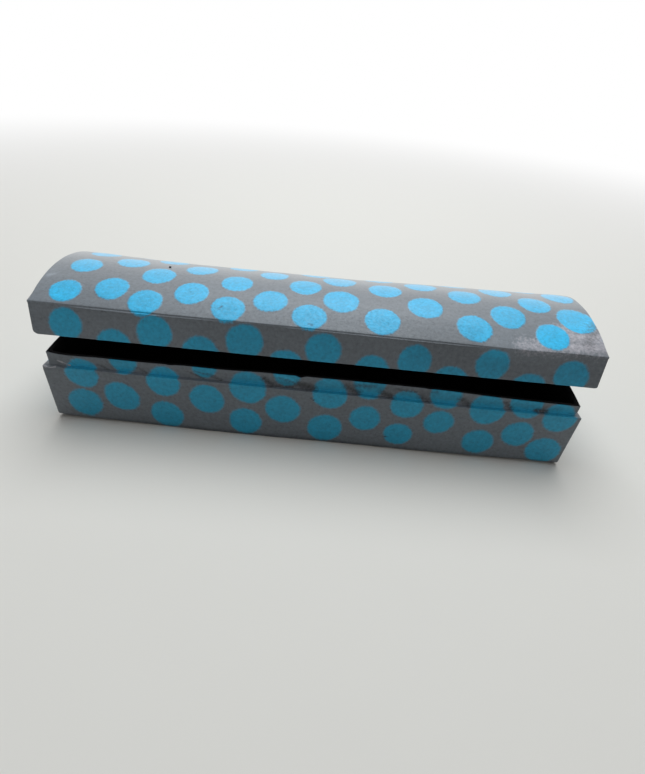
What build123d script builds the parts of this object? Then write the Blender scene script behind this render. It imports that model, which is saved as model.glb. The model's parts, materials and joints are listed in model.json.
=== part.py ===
"""A papier-mache pencil case: a long board box with a raised neck, and a hinged lid with an arched top.

Both halves are made of cut boards, covered outside and lined inside with pasted paper. A paper strip
pasted across the back is the hinge. The lid stands ajar, as a stiff paper hinge leaves it.

X runs along the case, Y from its front to its back, and Z up. The origin is the middle of the base,
on the table. All sizes are in millimetres.
"""

import math
import os

from build123d import *

# Overall sizes of the shut case
case_length = 220.0
case_width = 70.0
ledge_height = 27.1  # table to the ledge that the shut lid comes down to
neck_rise = 6.2  # how far the neck stands above the ledge
skirt_height = 13.5  # the lid's straight sides, up to the fold
arch_rise = 12.8  # the fold to the crown of the lid
lid_overhang = 0.5  # how far the lid reaches past the box at each end
corner_radius = 1.0  # the box's upright corners; the lid's are folded square
neck_corner_radius = 0.6

# Boards and paper
paper = 0.25  # one pasted and painted covering
paste = 0.05
floor_board = 2.0
neck_board = 1.2
lid_board = 1.0

# Fits
neck_clearance = 0.4  # lid lining to neck, on each side
closing_gap = 0.3  # shut lid to ledge, the paint and the hinge's fold

# Hinge strip
lid_ajar = 11.5  # degrees the lid stands open at rest
strip_reach = 9.0  # how far the strip is pasted up the lid, and down the box
strip_end_inset = 4.0  # bare wall at each end of the strip
fold_relief = 0.1  # bare fold between the strip's two halves

# Distances in from the outside faces
skin = paper + paste
lid_wall = skin + lid_board + skin
neck_face = lid_wall + neck_clearance
neck_board_face = neck_face + skin
lining_face = neck_board_face + neck_board + paste
inner_face = lining_face + paper
wall_board = neck_board_face - skin

# Levels
floor_bottom = skin
floor_top = floor_bottom + floor_board
neck_top = ledge_height + neck_rise
lid_bottom = ledge_height + closing_gap
fold_level = lid_bottom + skirt_height

# The arch is part of a circle through both folds
half_width = case_width / 2
half_length = case_length / 2
lid_length = case_length + 2 * lid_overhang
lid_half_length = lid_length / 2
arch_radius = (half_width**2 + arch_rise**2) / (2 * arch_rise)
arch_centre_level = fold_level + arch_rise - arch_radius

# The hinge line runs along the outer face of the strip, between ledge and lid
hinge_back = half_width + paste + paper
hinge_level = ledge_height + closing_gap / 2
hinge_line = Axis((0, hinge_back, hinge_level), (-1, 0, 0))

os.makedirs("parts", exist_ok=True)


def write_box_piece(part, name):
    """Write a piece of the box where it was drawn."""
    part.label = name
    export_step(part, f"parts/{name}.step")


def write_lid_piece(part, name):
    """Swing a piece of the lid from shut, as it was drawn, to its rest angle, and write it."""
    swung = part.rotate(hinge_line, lid_ajar)
    swung.label = name
    export_step(swung, f"parts/{name}.step")


def footprint(inset, length=case_length, radius=0.0, mode=Mode.ADD):
    """The outline seen from above, drawn in by inset on every side; radius is that of the outline itself."""
    width, depth = length - 2 * inset, case_width - 2 * inset
    if radius > inset:
        return RectangleRounded(width, depth, radius - inset, mode=mode)
    return Rectangle(width, depth, mode=mode)


def lid_outline(inset, arch_inset, bottom):
    """The lid's end view, with its sides drawn in by inset and the arch on top drawn in by arch_inset."""
    side = half_width - inset
    radius = arch_radius - arch_inset
    shoulder = arch_centre_level + math.sqrt(radius**2 - side**2)
    with BuildLine() as outline:
        Polyline((-side, shoulder), (-side, bottom), (side, bottom), (side, shoulder))
        ThreePointArc((side, shoulder), (0, arch_centre_level + radius), (-side, shoulder))
    make_face(outline.edges())


def end_view_at(x):
    """A plane across the case at x, whose own X is the case's Y and whose own Y is Z."""
    return Plane(origin=(x, 0, 0), x_dir=(0, 1, 0), z_dir=(1, 0, 0))


# Box: the floor and the four outer walls, which stand round it

with BuildPart() as base_paper:
    with BuildSketch(Plane.XY):
        footprint(0, radius=corner_radius)
    extrude(amount=paper)
    chamfer(base_paper.faces().sort_by(Axis.Z)[0].edges(), paper / 2)
write_box_piece(base_paper.part, "base_paper")

with BuildPart() as floor_panel:
    with BuildSketch(Plane.XY.offset(floor_bottom)):
        footprint(neck_board_face)
    extrude(amount=floor_board)
write_box_piece(floor_panel.part, "floor_board")

wall_top = ledge_height - skin
with BuildPart() as long_wall:
    with BuildSketch(Plane.XY.offset(floor_bottom)):
        with Locations((0, wall_board / 2 + skin - half_width)):
            Rectangle(case_length - 2 * skin, wall_board)
    extrude(amount=wall_top - floor_bottom)
    fillet(long_wall.edges().filter_by(Axis.Z).group_by(Axis.Y)[0], corner_radius - skin)
write_box_piece(long_wall.part, "front_wall_board")
write_box_piece(long_wall.part.mirror(Plane.XZ), "back_wall_board")

with BuildPart() as end_wall:
    with BuildSketch(Plane.XY.offset(floor_bottom)):
        with Locations((wall_board / 2 + skin - half_length, 0)):
            Rectangle(wall_board, case_width - 2 * neck_board_face)
    extrude(amount=wall_top - floor_bottom)
write_box_piece(end_wall.part, "left_wall_board")
write_box_piece(end_wall.part.mirror(Plane.YZ), "right_wall_board")

# Neck: four boards inside the walls, which stand above them and guide the lid

neck_board_top = neck_top - skin
with BuildPart() as long_neck:
    with BuildSketch(Plane.XY.offset(floor_top)):
        with Locations((0, neck_board_face + neck_board / 2 - half_width)):
            Rectangle(case_length - 2 * neck_board_face, neck_board)
    extrude(amount=neck_board_top - floor_top)
    fillet(long_neck.edges().filter_by(Axis.Z).group_by(Axis.Y)[0], neck_corner_radius - skin)
write_box_piece(long_neck.part, "neck_front_board")
write_box_piece(long_neck.part.mirror(Plane.XZ), "neck_back_board")

with BuildPart() as end_neck:
    with BuildSketch(Plane.XY.offset(floor_top)):
        with Locations((neck_board_face + neck_board / 2 - half_length, 0)):
            Rectangle(neck_board, case_width - 2 * (neck_board_face + neck_board))
    extrude(amount=neck_board_top - floor_top)
write_box_piece(end_neck.part, "neck_left_board")
write_box_piece(end_neck.part.mirror(Plane.YZ), "neck_right_board")

# Box coverings: round the walls and over the ledge, up the neck, and the black lining, folded over its edge

with BuildPart() as box_side_paper:
    with BuildSketch(Plane.XY.offset(paper)):
        footprint(0, radius=corner_radius)
    extrude(amount=ledge_height - paper)
    with BuildSketch(Plane.XY.offset(paper)):
        footprint(paper, radius=corner_radius)
    extrude(amount=ledge_height - 2 * paper, mode=Mode.SUBTRACT)
    with BuildSketch(Plane.XY.offset(ledge_height)):
        footprint(neck_board_face)
    extrude(amount=-2 * paper, mode=Mode.SUBTRACT)
write_box_piece(box_side_paper.part, "box_side_paper")

neck_outline_radius = neck_face + neck_corner_radius
with BuildPart() as neck_paper:
    with BuildSketch(Plane.XY.offset(ledge_height)):
        footprint(neck_face, radius=neck_outline_radius)
        footprint(neck_face + paper, radius=neck_outline_radius, mode=Mode.SUBTRACT)
    extrude(amount=neck_rise - paper)
write_box_piece(neck_paper.part, "neck_paper")

lining_bottom = floor_top + paste
with BuildPart() as box_lining:
    with BuildSketch(Plane.XY.offset(lining_bottom)):
        footprint(lining_face)
    extrude(amount=neck_top - lining_bottom)
    with BuildSketch(Plane.XY.offset(neck_top)):
        footprint(neck_face, radius=neck_outline_radius)
    extrude(amount=-paper)
    with BuildSketch(Plane.XY.offset(lining_bottom + paper)):
        footprint(inner_face)
    extrude(amount=neck_top - lining_bottom - paper, mode=Mode.SUBTRACT)
write_box_piece(box_lining.part, "box_lining_paper")

# Lid boards: a bent top over two long sides and two arched ends

board_arch_inset = skin + lid_board
board_bottom = lid_bottom + skin
boards_half_length = lid_half_length - skin
with BuildPart() as lid_top:
    with BuildSketch(end_view_at(0)):
        lid_outline(skin, skin, board_bottom)
    extrude(amount=boards_half_length, both=True)
    with BuildSketch(end_view_at(0)):
        lid_outline(skin, board_arch_inset, board_bottom)
    extrude(amount=boards_half_length, both=True, mode=Mode.SUBTRACT)
write_lid_piece(lid_top.part, "lid_top_board")

with BuildPart() as long_side:
    with BuildSketch(end_view_at(0)):
        lid_outline(skin, board_arch_inset, board_bottom)
        with Locations((skin + lid_board, fold_level)):
            Rectangle(case_width, 2 * case_width, mode=Mode.SUBTRACT)
    extrude(amount=boards_half_length, both=True)
write_lid_piece(long_side.part, "lid_front_board")
write_lid_piece(long_side.part.mirror(Plane.XZ), "lid_back_board")

with BuildPart() as arched_end:
    with BuildSketch(end_view_at(-boards_half_length)):
        lid_outline(skin + lid_board, board_arch_inset, board_bottom)
    extrude(amount=lid_board)
write_lid_piece(arched_end.part, "lid_left_board")
write_lid_piece(arched_end.part.mirror(Plane.YZ), "lid_right_board")

# Lid coverings: round the sides and under their edges, over the arch, and the black lining

with BuildPart() as lid_side_paper:
    with BuildSketch(end_view_at(0)):
        lid_outline(0, skin, lid_bottom)
    extrude(amount=lid_half_length, both=True)
    with BuildSketch(Plane.XY.offset(lid_bottom + paper)):
        footprint(paper, lid_length)
    extrude(amount=skirt_height + arch_rise, mode=Mode.SUBTRACT)
    with BuildSketch(Plane.XY.offset(lid_bottom)):
        footprint(lid_wall, lid_length)
    extrude(amount=paper, mode=Mode.SUBTRACT)
write_lid_piece(lid_side_paper.part, "lid_side_paper")

with BuildPart() as lid_top_paper:
    with BuildSketch(end_view_at(0)):
        lid_outline(0, 0, lid_bottom)
    extrude(amount=lid_half_length, both=True)
    with BuildSketch(end_view_at(0)):
        lid_outline(0, paper, lid_bottom)
    extrude(amount=lid_half_length, both=True, mode=Mode.SUBTRACT)
write_lid_piece(lid_top_paper.part, "lid_top_paper")

lining_inset = skin + lid_board + paste
with BuildPart() as lid_lining:
    with BuildSketch(end_view_at(0)):
        lid_outline(lining_inset, board_arch_inset + paste, board_bottom)
    extrude(amount=lid_half_length - lining_inset, both=True)
    with BuildSketch(end_view_at(0)):
        lid_outline(lid_wall, board_arch_inset + skin, board_bottom)
    extrude(amount=lid_half_length - lid_wall, both=True, mode=Mode.SUBTRACT)
write_lid_piece(lid_lining.part, "lid_lining_paper")

# Hinge strip: one strip pasted across the back, in the half that stays and the half that swings

strip_length = case_length - 2 * strip_end_inset
half_strip_height = strip_reach - fold_relief / 2
strip_halves = (
    ("hinge_strip_box_half", -1, write_box_piece),
    ("hinge_strip_lid_half", 1, write_lid_piece),
)
for name, side, write in strip_halves:
    middle_level = hinge_level + side * (fold_relief + half_strip_height) / 2
    with BuildPart() as half_strip:
        with BuildSketch(Plane.XZ.offset(-half_width - paste)):
            with Locations((0, middle_level)):
                Rectangle(strip_length, half_strip_height)
        extrude(amount=-paper)
    write(half_strip.part, name)
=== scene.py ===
"""A papier-mache pencil case: its looks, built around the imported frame.

The box and its lid are cut boards under pasted paper, painted satin grey, dabbed all over with blue dots
and lined with black. Every covering is a closed sheet at the paper's real thickness, and all the layers
share one hand-made unevenness, so they stay nested. Sizes are millimetres in the case's own frame, and
the lid is drawn shut and swung to its rest angle. A mesh turns to metres as it is made.
"""

import json
import logging
import math
import random
from collections.abc import Callable, Sequence
from dataclasses import dataclass, field
from enum import Enum
from functools import partial
from typing import Any, ClassVar

import bmesh
import bpy
import numpy as np
from mathutils import Matrix, Vector

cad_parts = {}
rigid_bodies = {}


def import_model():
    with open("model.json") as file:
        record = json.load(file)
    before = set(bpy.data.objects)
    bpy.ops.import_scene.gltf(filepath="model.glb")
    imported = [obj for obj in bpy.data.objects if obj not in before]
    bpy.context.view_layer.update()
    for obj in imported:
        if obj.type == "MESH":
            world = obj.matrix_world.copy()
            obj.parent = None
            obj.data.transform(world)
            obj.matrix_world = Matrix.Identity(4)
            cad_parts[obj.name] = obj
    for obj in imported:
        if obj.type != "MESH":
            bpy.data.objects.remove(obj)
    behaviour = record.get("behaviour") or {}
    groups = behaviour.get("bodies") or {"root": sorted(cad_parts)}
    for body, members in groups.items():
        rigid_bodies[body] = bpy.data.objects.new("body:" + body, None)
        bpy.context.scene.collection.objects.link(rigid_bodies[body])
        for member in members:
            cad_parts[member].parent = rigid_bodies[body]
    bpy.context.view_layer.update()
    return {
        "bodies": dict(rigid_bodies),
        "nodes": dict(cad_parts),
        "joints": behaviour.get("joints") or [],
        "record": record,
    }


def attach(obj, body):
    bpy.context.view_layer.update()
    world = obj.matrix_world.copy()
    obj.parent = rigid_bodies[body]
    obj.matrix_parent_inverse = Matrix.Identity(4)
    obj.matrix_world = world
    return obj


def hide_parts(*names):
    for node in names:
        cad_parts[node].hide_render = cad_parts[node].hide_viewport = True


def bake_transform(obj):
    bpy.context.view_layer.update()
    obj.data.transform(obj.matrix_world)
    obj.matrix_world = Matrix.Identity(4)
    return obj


log = logging.getLogger("pencil_case")

MM = 0.001
IMAGE_HEIGHT = 774
TINY = 0.02
SHARP_ANGLE = math.radians(50)

MATH = "ShaderNodeMath"
VECTOR_MATH = "ShaderNodeVectorMath"
MAP_RANGE = "ShaderNodeMapRange"
NOISE = "ShaderNodeTexNoise"
BUMP = "ShaderNodeBump"
SURFACE = "ShaderNodeBsdfPrincipled"
OUTPUT = "ShaderNodeOutputMaterial"
ATTRIBUTE = "ShaderNodeAttribute"
FIELD = "GeometryNodeInputNamedAttribute"

Tree = bpy.types.NodeTree
Node = bpy.types.Node
Object = bpy.types.Object
Material = bpy.types.Material
Array = np.ndarray
Place = Callable[[Array], Array]
Pair = tuple[float, float]
Triple = tuple[float, float, float]


def smooth_step(share: Array) -> Array:
    """Eases a share from 0 to 1, held at both ends."""
    held = np.clip(share, 0.0, 1.0)
    return held * held * (3.0 - 2.0 * held)


def linear(hex_code: str) -> tuple[float, float, float, float]:
    """Turns an sRGB hex colour to the linear one that a shader takes.

    Args:
        hex_code: The colour as #RRGGBB.

    Returns:
        Red, green, blue and an alpha of 1.
    """
    parts = [int(hex_code[place:place + 2], 16) / 255 for place in (1, 3, 5)]
    red, green, blue = (p / 12.92 if p <= 0.04045 else ((p + 0.055) / 1.055) ** 2.4 for p in parts)
    return red, green, blue, 1.0


def add_node(tree: Tree, kind: str, inputs: dict[str, Any] | Sequence[Any] = (), **settings: Any) -> Node:
    """Adds one node to a tree, with its settings, values and links.

    Args:
        tree: The tree that gets the node.
        kind: The node type.
        inputs: Values by the names of their sockets, or a list for the first sockets in use. Each is a plain
            value, a node whose first output it takes, or a node and the name of one of its outputs.
        settings: Values of the node's own properties.

    Returns:
        The new node.
    """
    node = tree.nodes.new(kind)
    for name, value in settings.items():
        setattr(node, name, value)
    sockets = [socket for socket in node.inputs if socket.enabled]
    for key, value in inputs.items() if isinstance(inputs, dict) else enumerate(inputs):
        socket = sockets[key] if isinstance(key, int) else next(s for s in sockets if s.name == key)
        giver, output = value if isinstance(value, tuple) and isinstance(value[0], Node) else (value, "")
        if isinstance(giver, Node):
            tree.links.new(next(s for s in giver.outputs if s.enabled and output in ("", s.name)), socket)
        else:
            socket.default_value = value
    return node


def show(name: str, data: bpy.types.ID) -> Object:
    """Puts new data in the scene.

    Args:
        name: The object's name.
        data: Its mesh, light or camera.

    Returns:
        The object, at the origin.
    """
    shown = bpy.data.objects.new(name, data)
    bpy.context.scene.collection.objects.link(shown)
    return shown


def graded(length: float, step: float, fine: float, growth: float = 1.3) -> Array:
    """Spaces places along a length, close together at both ends.

    Args:
        length: The whole length.
        step: The spacing in the middle.
        fine: The spacing at both ends.
        growth: How much each gap near an end is wider than the one before.

    Returns:
        Places from 0 to length.
    """
    run = [0.0]
    gap = fine
    while gap < step:
        run.append(run[-1] + gap)
        gap *= growth
    count = max(1, round((length - 2 * run[-1]) / step))
    middle = np.linspace(run[-1], length - run[-1], count + 1)
    return np.concatenate([run[:-1], middle, length - np.array(run[:-1])[::-1]])


def round_edge(depth_a: Array, depth_b: Array, radius: Array | float) -> tuple[Array, Array]:
    """Rounds the edge where two square faces meet, with every layer under it.

    Args:
        depth_a: How far each point lies under the first face.
        depth_b: How far each point lies under the second face.
        radius: The edge's radius.

    Returns:
        The two depths of each point once the edge is rounded.
    """
    reach_a, reach_b = radius - depth_a, radius - depth_b
    beyond = (reach_a > 0) & (reach_b > 0)
    length = np.maximum(np.hypot(reach_a, reach_b), TINY)
    share = np.where(beyond, np.maximum(reach_a, reach_b) / length, 1.0)
    return radius - reach_a * share, radius - reach_b * share


def arc(centre: Pair, radius: float, start: float, end: float, count: int) -> Array:
    """Points on a flat arc.

    Args:
        centre: The arc's centre.
        radius: Its radius.
        start: Its first angle, in radians.
        end: Its last angle.
        count: How many points, both ends included.

    Returns:
        One row of two coordinates for each point.
    """
    angles = np.linspace(start, end, count)
    return np.stack([centre[0] + radius * np.cos(angles), centre[1] + radius * np.sin(angles)], axis=1)


def swing(points: Array, hinge_y: float, hinge_z: float, angle: float) -> Array:
    """Swings points of the lid about the hinge line.

    Args:
        points: The points, one row each.
        hinge_y: The hinge line's Y.
        hinge_z: The hinge line's level.
        angle: How far the lid opens, in radians.

    Returns:
        The points in their new places.
    """
    back, up = points[:, 1] - hinge_y, points[:, 2] - hinge_z
    turned_back = back * math.cos(angle) + up * math.sin(angle)
    turned_up = up * math.cos(angle) - back * math.sin(angle)
    return np.stack([points[:, 0], hinge_y + turned_back, hinge_z + turned_up], axis=1)


@dataclass(frozen=True)
class HandLine:
    """How far a hand-made line strays from the true one, as a few (place, offset) knots joined smoothly."""

    knots: tuple[Pair, ...]
    blur: float = 6.0
    samples: int = 7

    def at(self, places: Array) -> Array:
        """Reads the line.

        Args:
            places: Places along it.

        Returns:
            The offset at each place.
        """
        spots, offsets = zip(*self.knots)
        spread = np.linspace(-self.blur, self.blur, self.samples)
        return np.mean([np.interp(places + shift, spots, offsets) for shift in spread], axis=0)


@dataclass(frozen=True)
class Ripple:
    """Smooth unevenness of a hand-made surface: seeded waves that cross each other."""

    length: float
    seed: int
    waves: int = 10
    longest: float = 2.4

    def at(self, points: Array) -> Array:
        """Reads the unevenness.

        Args:
            points: The points, one row each.

        Returns:
            The height at each point, from about -1 to 1.
        """
        draw = np.random.default_rng(self.seed)
        ways = draw.normal(size=(self.waves, points.shape[1]))
        ways /= np.linalg.norm(ways, axis=1, keepdims=True)
        lengths = self.length * draw.uniform(1.0, self.longest, self.waves)
        phases = draw.uniform(0.0, 2 * math.pi, self.waves)
        heights = np.sin(points @ (2 * math.pi * ways / lengths[:, None]).T + phases)
        return np.clip(heights.sum(axis=1) / math.sqrt(self.waves), -1.0, 1.0)

    def share(self, points: Array) -> Array:
        """The height at each point, from 0 to 1."""
        return 0.5 + 0.5 * self.at(points)


@dataclass(frozen=True)
class CaseSizes:
    """The case's own sizes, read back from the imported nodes, in millimetres with the lid shut."""

    half_length: float
    half_width: float
    ledge: float
    floor_top: float
    neck_top: float
    neck_half_length: float
    neck_half_width: float
    inner_half_width: float
    paper: float
    lid_half_length: float
    lid_bottom: float
    fold: float
    crown: float
    lid_inner_half_width: float
    strip_half_length: float
    strip_bottom: float
    strip_top: float
    hinge_y: float
    hinge_z: float
    ajar: float

    @classmethod
    def from_frame(cls, frame: dict[str, Any]) -> "CaseSizes":
        """Reads the sizes from the frame.

        Args:
            frame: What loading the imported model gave.

        Returns:
            The sizes.
        """
        joint = frame["joints"][0]
        _, hinge_y, hinge_z = (value / MM for value in joint["pos_m"])
        ajar = -math.radians(joint["range_deg"][0])

        def corners(node: str, swung: bool = False, rim: float = 0.0) -> tuple[Array, Array]:
            """Measures a node.

            Args:
                node: The node's name.
                swung: True for a node of the lid, which is measured as if it were shut.
                rim: How much of the node's front is measured, or 0 for all of it.

            Returns:
                Its lowest and highest corners.
            """
            points = np.array([vertex.co for vertex in frame["nodes"][node].data.vertices]) / MM
            if swung:
                points = swing(points, hinge_y, hinge_z, -ajar)
            points = points[points[:, 1] <= points[:, 1].min() + rim] if rim else points
            return points.min(axis=0), points.max(axis=0)

        side_low, side_high = corners("box_side_paper")
        _, neck_high = corners("neck_paper")
        lining_low, lining_high = corners("box_lining_paper")
        neck_board_low, _ = corners("neck_back_board")
        lid_low, lid_high = corners("lid_side_paper", swung=True)
        _, top_high = corners("lid_top_paper", swung=True)
        _, fold_high = corners("lid_top_paper", swung=True, rim=TINY)
        _, lid_board_high = corners("lid_front_board", swung=True)
        strip_low, strip_high = corners("hinge_strip_box_half")
        _, lid_strip_high = corners("hinge_strip_lid_half", swung=True)
        paper = side_low[2]
        paste = lining_low[2] - corners("floor_board")[1][2]
        return cls(
            half_length=side_high[0],
            half_width=side_high[1],
            ledge=side_high[2],
            floor_top=lining_low[2],
            neck_top=lining_high[2],
            neck_half_length=neck_high[0],
            neck_half_width=neck_high[1],
            inner_half_width=neck_board_low[1] - paste - paper,
            paper=paper,
            lid_half_length=lid_high[0],
            lid_bottom=lid_low[2],
            fold=fold_high[2],
            crown=top_high[2],
            lid_inner_half_width=-lid_board_high[1] - paste - paper,
            strip_half_length=strip_high[0],
            strip_bottom=strip_low[2],
            strip_top=lid_strip_high[2],
            hinge_y=hinge_y,
            hinge_z=hinge_z,
            ajar=ajar,
        )

    @property
    def arch_radius(self) -> float:
        """The radius of the lid's arch, which passes through both folds."""
        rise = self.crown - self.fold
        return (self.half_width ** 2 + rise ** 2) / (2 * rise)

    @property
    def arch_level(self) -> float:
        """The level of the arch's centre."""
        return self.crown - self.arch_radius

    @property
    def fold_angle(self) -> float:
        """The arch's angle from the crown to a fold, in radians."""
        return math.asin(self.half_width / self.arch_radius)

    def arch_height(self, y: Array, inset: float = 0.0) -> Array:
        """The level of the arch, drawn in by an inset, above each Y."""
        return self.arch_level + np.sqrt(np.maximum((self.arch_radius - inset) ** 2 - y ** 2, 0.0))


@dataclass
class Shell:
    """A closed mesh in the making, in millimetres, with its painted marks as one number for each point."""

    points: Array
    faces: list[tuple[int, ...]]
    marks: dict[str, Array] = field(default_factory=dict)

    @classmethod
    def swept(cls, rings: Array, closed: bool, shown: int | None = None) -> "Shell":
        """Joins loops of points, one at each station, to a closed mesh that faces outwards.

        Args:
            rings: Stations by points by three coordinates.
            closed: True where the last station meets the first, and False where both ends get a cap.
            shown: How many of a loop's first points lie on the painted side, or None for unpainted paper.

        Returns:
            The shell.
        """
        stations, around, _ = rings.shape
        index = np.arange(stations * around).reshape(stations, around)
        start = index if closed else index[:-1]
        after = np.roll(index, -1, axis=0) if closed else index[1:]
        quads = np.stack([start, after, np.roll(after, -1, axis=1), np.roll(start, -1, axis=1)], axis=-1)
        faces = [tuple(quad) for quad in quads.reshape(-1, 4).tolist()]
        if not closed:
            faces.append(tuple(index[0].tolist()))
            faces.append(tuple(index[-1][::-1].tolist()))
        shell = cls(rings.reshape(-1, 3), faces)
        if shell.volume() < 0:
            shell.faces = [face[::-1] for face in faces]
        if shown is not None:
            shell.marks["outer"] = np.tile(np.arange(around) < shown, stations).astype(float)
        return shell

    def volume(self) -> float:
        """Measures the shell.

        Returns:
            The volume inside, negative where the faces point inwards.
        """
        fans = np.array([(f[0], f[i], f[i + 1]) for f in self.faces for i in range(1, len(f) - 1)])
        first, second, third = self.points[fans].transpose(1, 0, 2)
        return float(np.einsum("ij,ij->i", first, np.cross(second, third)).sum() / 6)

    def joined(self, other: "Shell") -> "Shell":
        """Puts this shell and another in one mesh.

        Args:
            other: The other shell.

        Returns:
            Both, unmarked.
        """
        offset = len(self.points)
        moved = [tuple(corner + offset for corner in face) for face in other.faces]
        return Shell(np.concatenate([self.points, other.points]), self.faces + moved)

    def to_object(self, name: str, place: Place) -> Object:
        """Makes the shell a smooth mesh object in metres, at its place.

        Args:
            name: The piece's name.
            place: Bends and poses the drawn points.

        Returns:
            The object, at the origin, with its place in its mesh.
        """
        mesh = bpy.data.meshes.new(name)
        mesh.from_pydata((place(self.points) * MM).tolist(), [], self.faces)
        for mark, values in self.marks.items():
            attribute = mesh.attributes.new(mark, "FLOAT", "POINT")
            attribute.data.foreach_set("value", values.astype(np.float32))
        mesh.shade_smooth()
        mesh.set_sharp_from_angle(angle=SHARP_ANGLE)
        return show(name, mesh)


@dataclass(frozen=True)
class Outline:
    """The case seen from above: a rectangle with rounded corners, walked round once."""

    half_length: float
    half_width: float
    corner: float
    step: float
    fine: float
    corner_steps: int = 6

    def ring(self, insets: Array) -> Array:
        """Points round the outline, drawn in by each inset.

        Args:
            insets: How far each point of the section lies in from the outline.

        Returns:
            Stations by insets by X and Y.
        """
        signs = [(1, 1), (-1, 1), (-1, -1), (1, -1)]
        middles: list[Pair] = []
        normals: list[Pair] = []
        for turn, (sign_x, sign_y) in enumerate(signs):
            for angle in np.linspace(turn, turn + 1, self.corner_steps + 1) * math.pi / 2:
                middles.append((sign_x, sign_y))
                normals.append((math.cos(angle), math.sin(angle)))
            next_x, next_y = signs[(turn + 1) % 4]
            length = 2 * (self.half_length if turn % 2 == 0 else self.half_width)
            for share in graded(length, self.step, self.fine)[1:-1] / length:
                middles.append((sign_x + share * (next_x - sign_x), sign_y + share * (next_y - sign_y)))
                normals.append(normals[-1])
        radius = np.maximum(self.corner - insets, TINY)
        reach = np.array([self.half_length, self.half_width]) - (insets + radius)[:, None]
        middle, normal = np.array(middles)[:, None, :], np.array(normals)[:, None, :]
        return middle * reach[None] + normal * radius[None, :, None]

    def carry(self, section: Array) -> Array:
        """Carries a section round the outline.

        Args:
            section: Rows of inset and level.

        Returns:
            Stations by points by three coordinates.
        """
        flat = self.ring(section[:, 0])
        levels = np.broadcast_to(section[:, 1], flat.shape[:2])
        return np.concatenate([flat, levels[..., None]], axis=2)


def bar_section(stations: Array, section: Array) -> Array:
    """Carries a section along X.

    Args:
        stations: The X of each station.
        section: Rows of Y and Z, the same at every station or one set for each.

    Returns:
        Stations by points by three coordinates.
    """
    across = np.broadcast_to(section, (len(stations), *section.shape[-2:]))
    along = np.broadcast_to(stations[:, None, None], (*across.shape[:2], 1))
    return np.concatenate([along, across], axis=2)


@dataclass(frozen=True)
class HandShape:
    """What the hand-made box and lid have in common: walls that ripple and lean, but not at their corners."""

    sizes: CaseSizes
    side_start: float = 24.0
    side_blend: float = 8.0
    end_blend: float = 14.0
    corner_calm: float = 12.0
    film: float = 0.06

    def near_side(self, y: Array) -> Array:
        """0 in the middle of the case, and 1 near its long walls."""
        return smooth_step((np.abs(y) - self.side_start) / self.side_blend)

    def near_end(self, x: Array, half_length: float) -> Array:
        """0 away from the end walls, and 1 at them."""
        return smooth_step((np.abs(x) - half_length + self.end_blend) / self.end_blend)

    def calm(self, depth: Array) -> Array:
        """0 at a corner, where ripples die away, and 1 far enough from it."""
        return smooth_step(depth / self.corner_calm)


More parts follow.
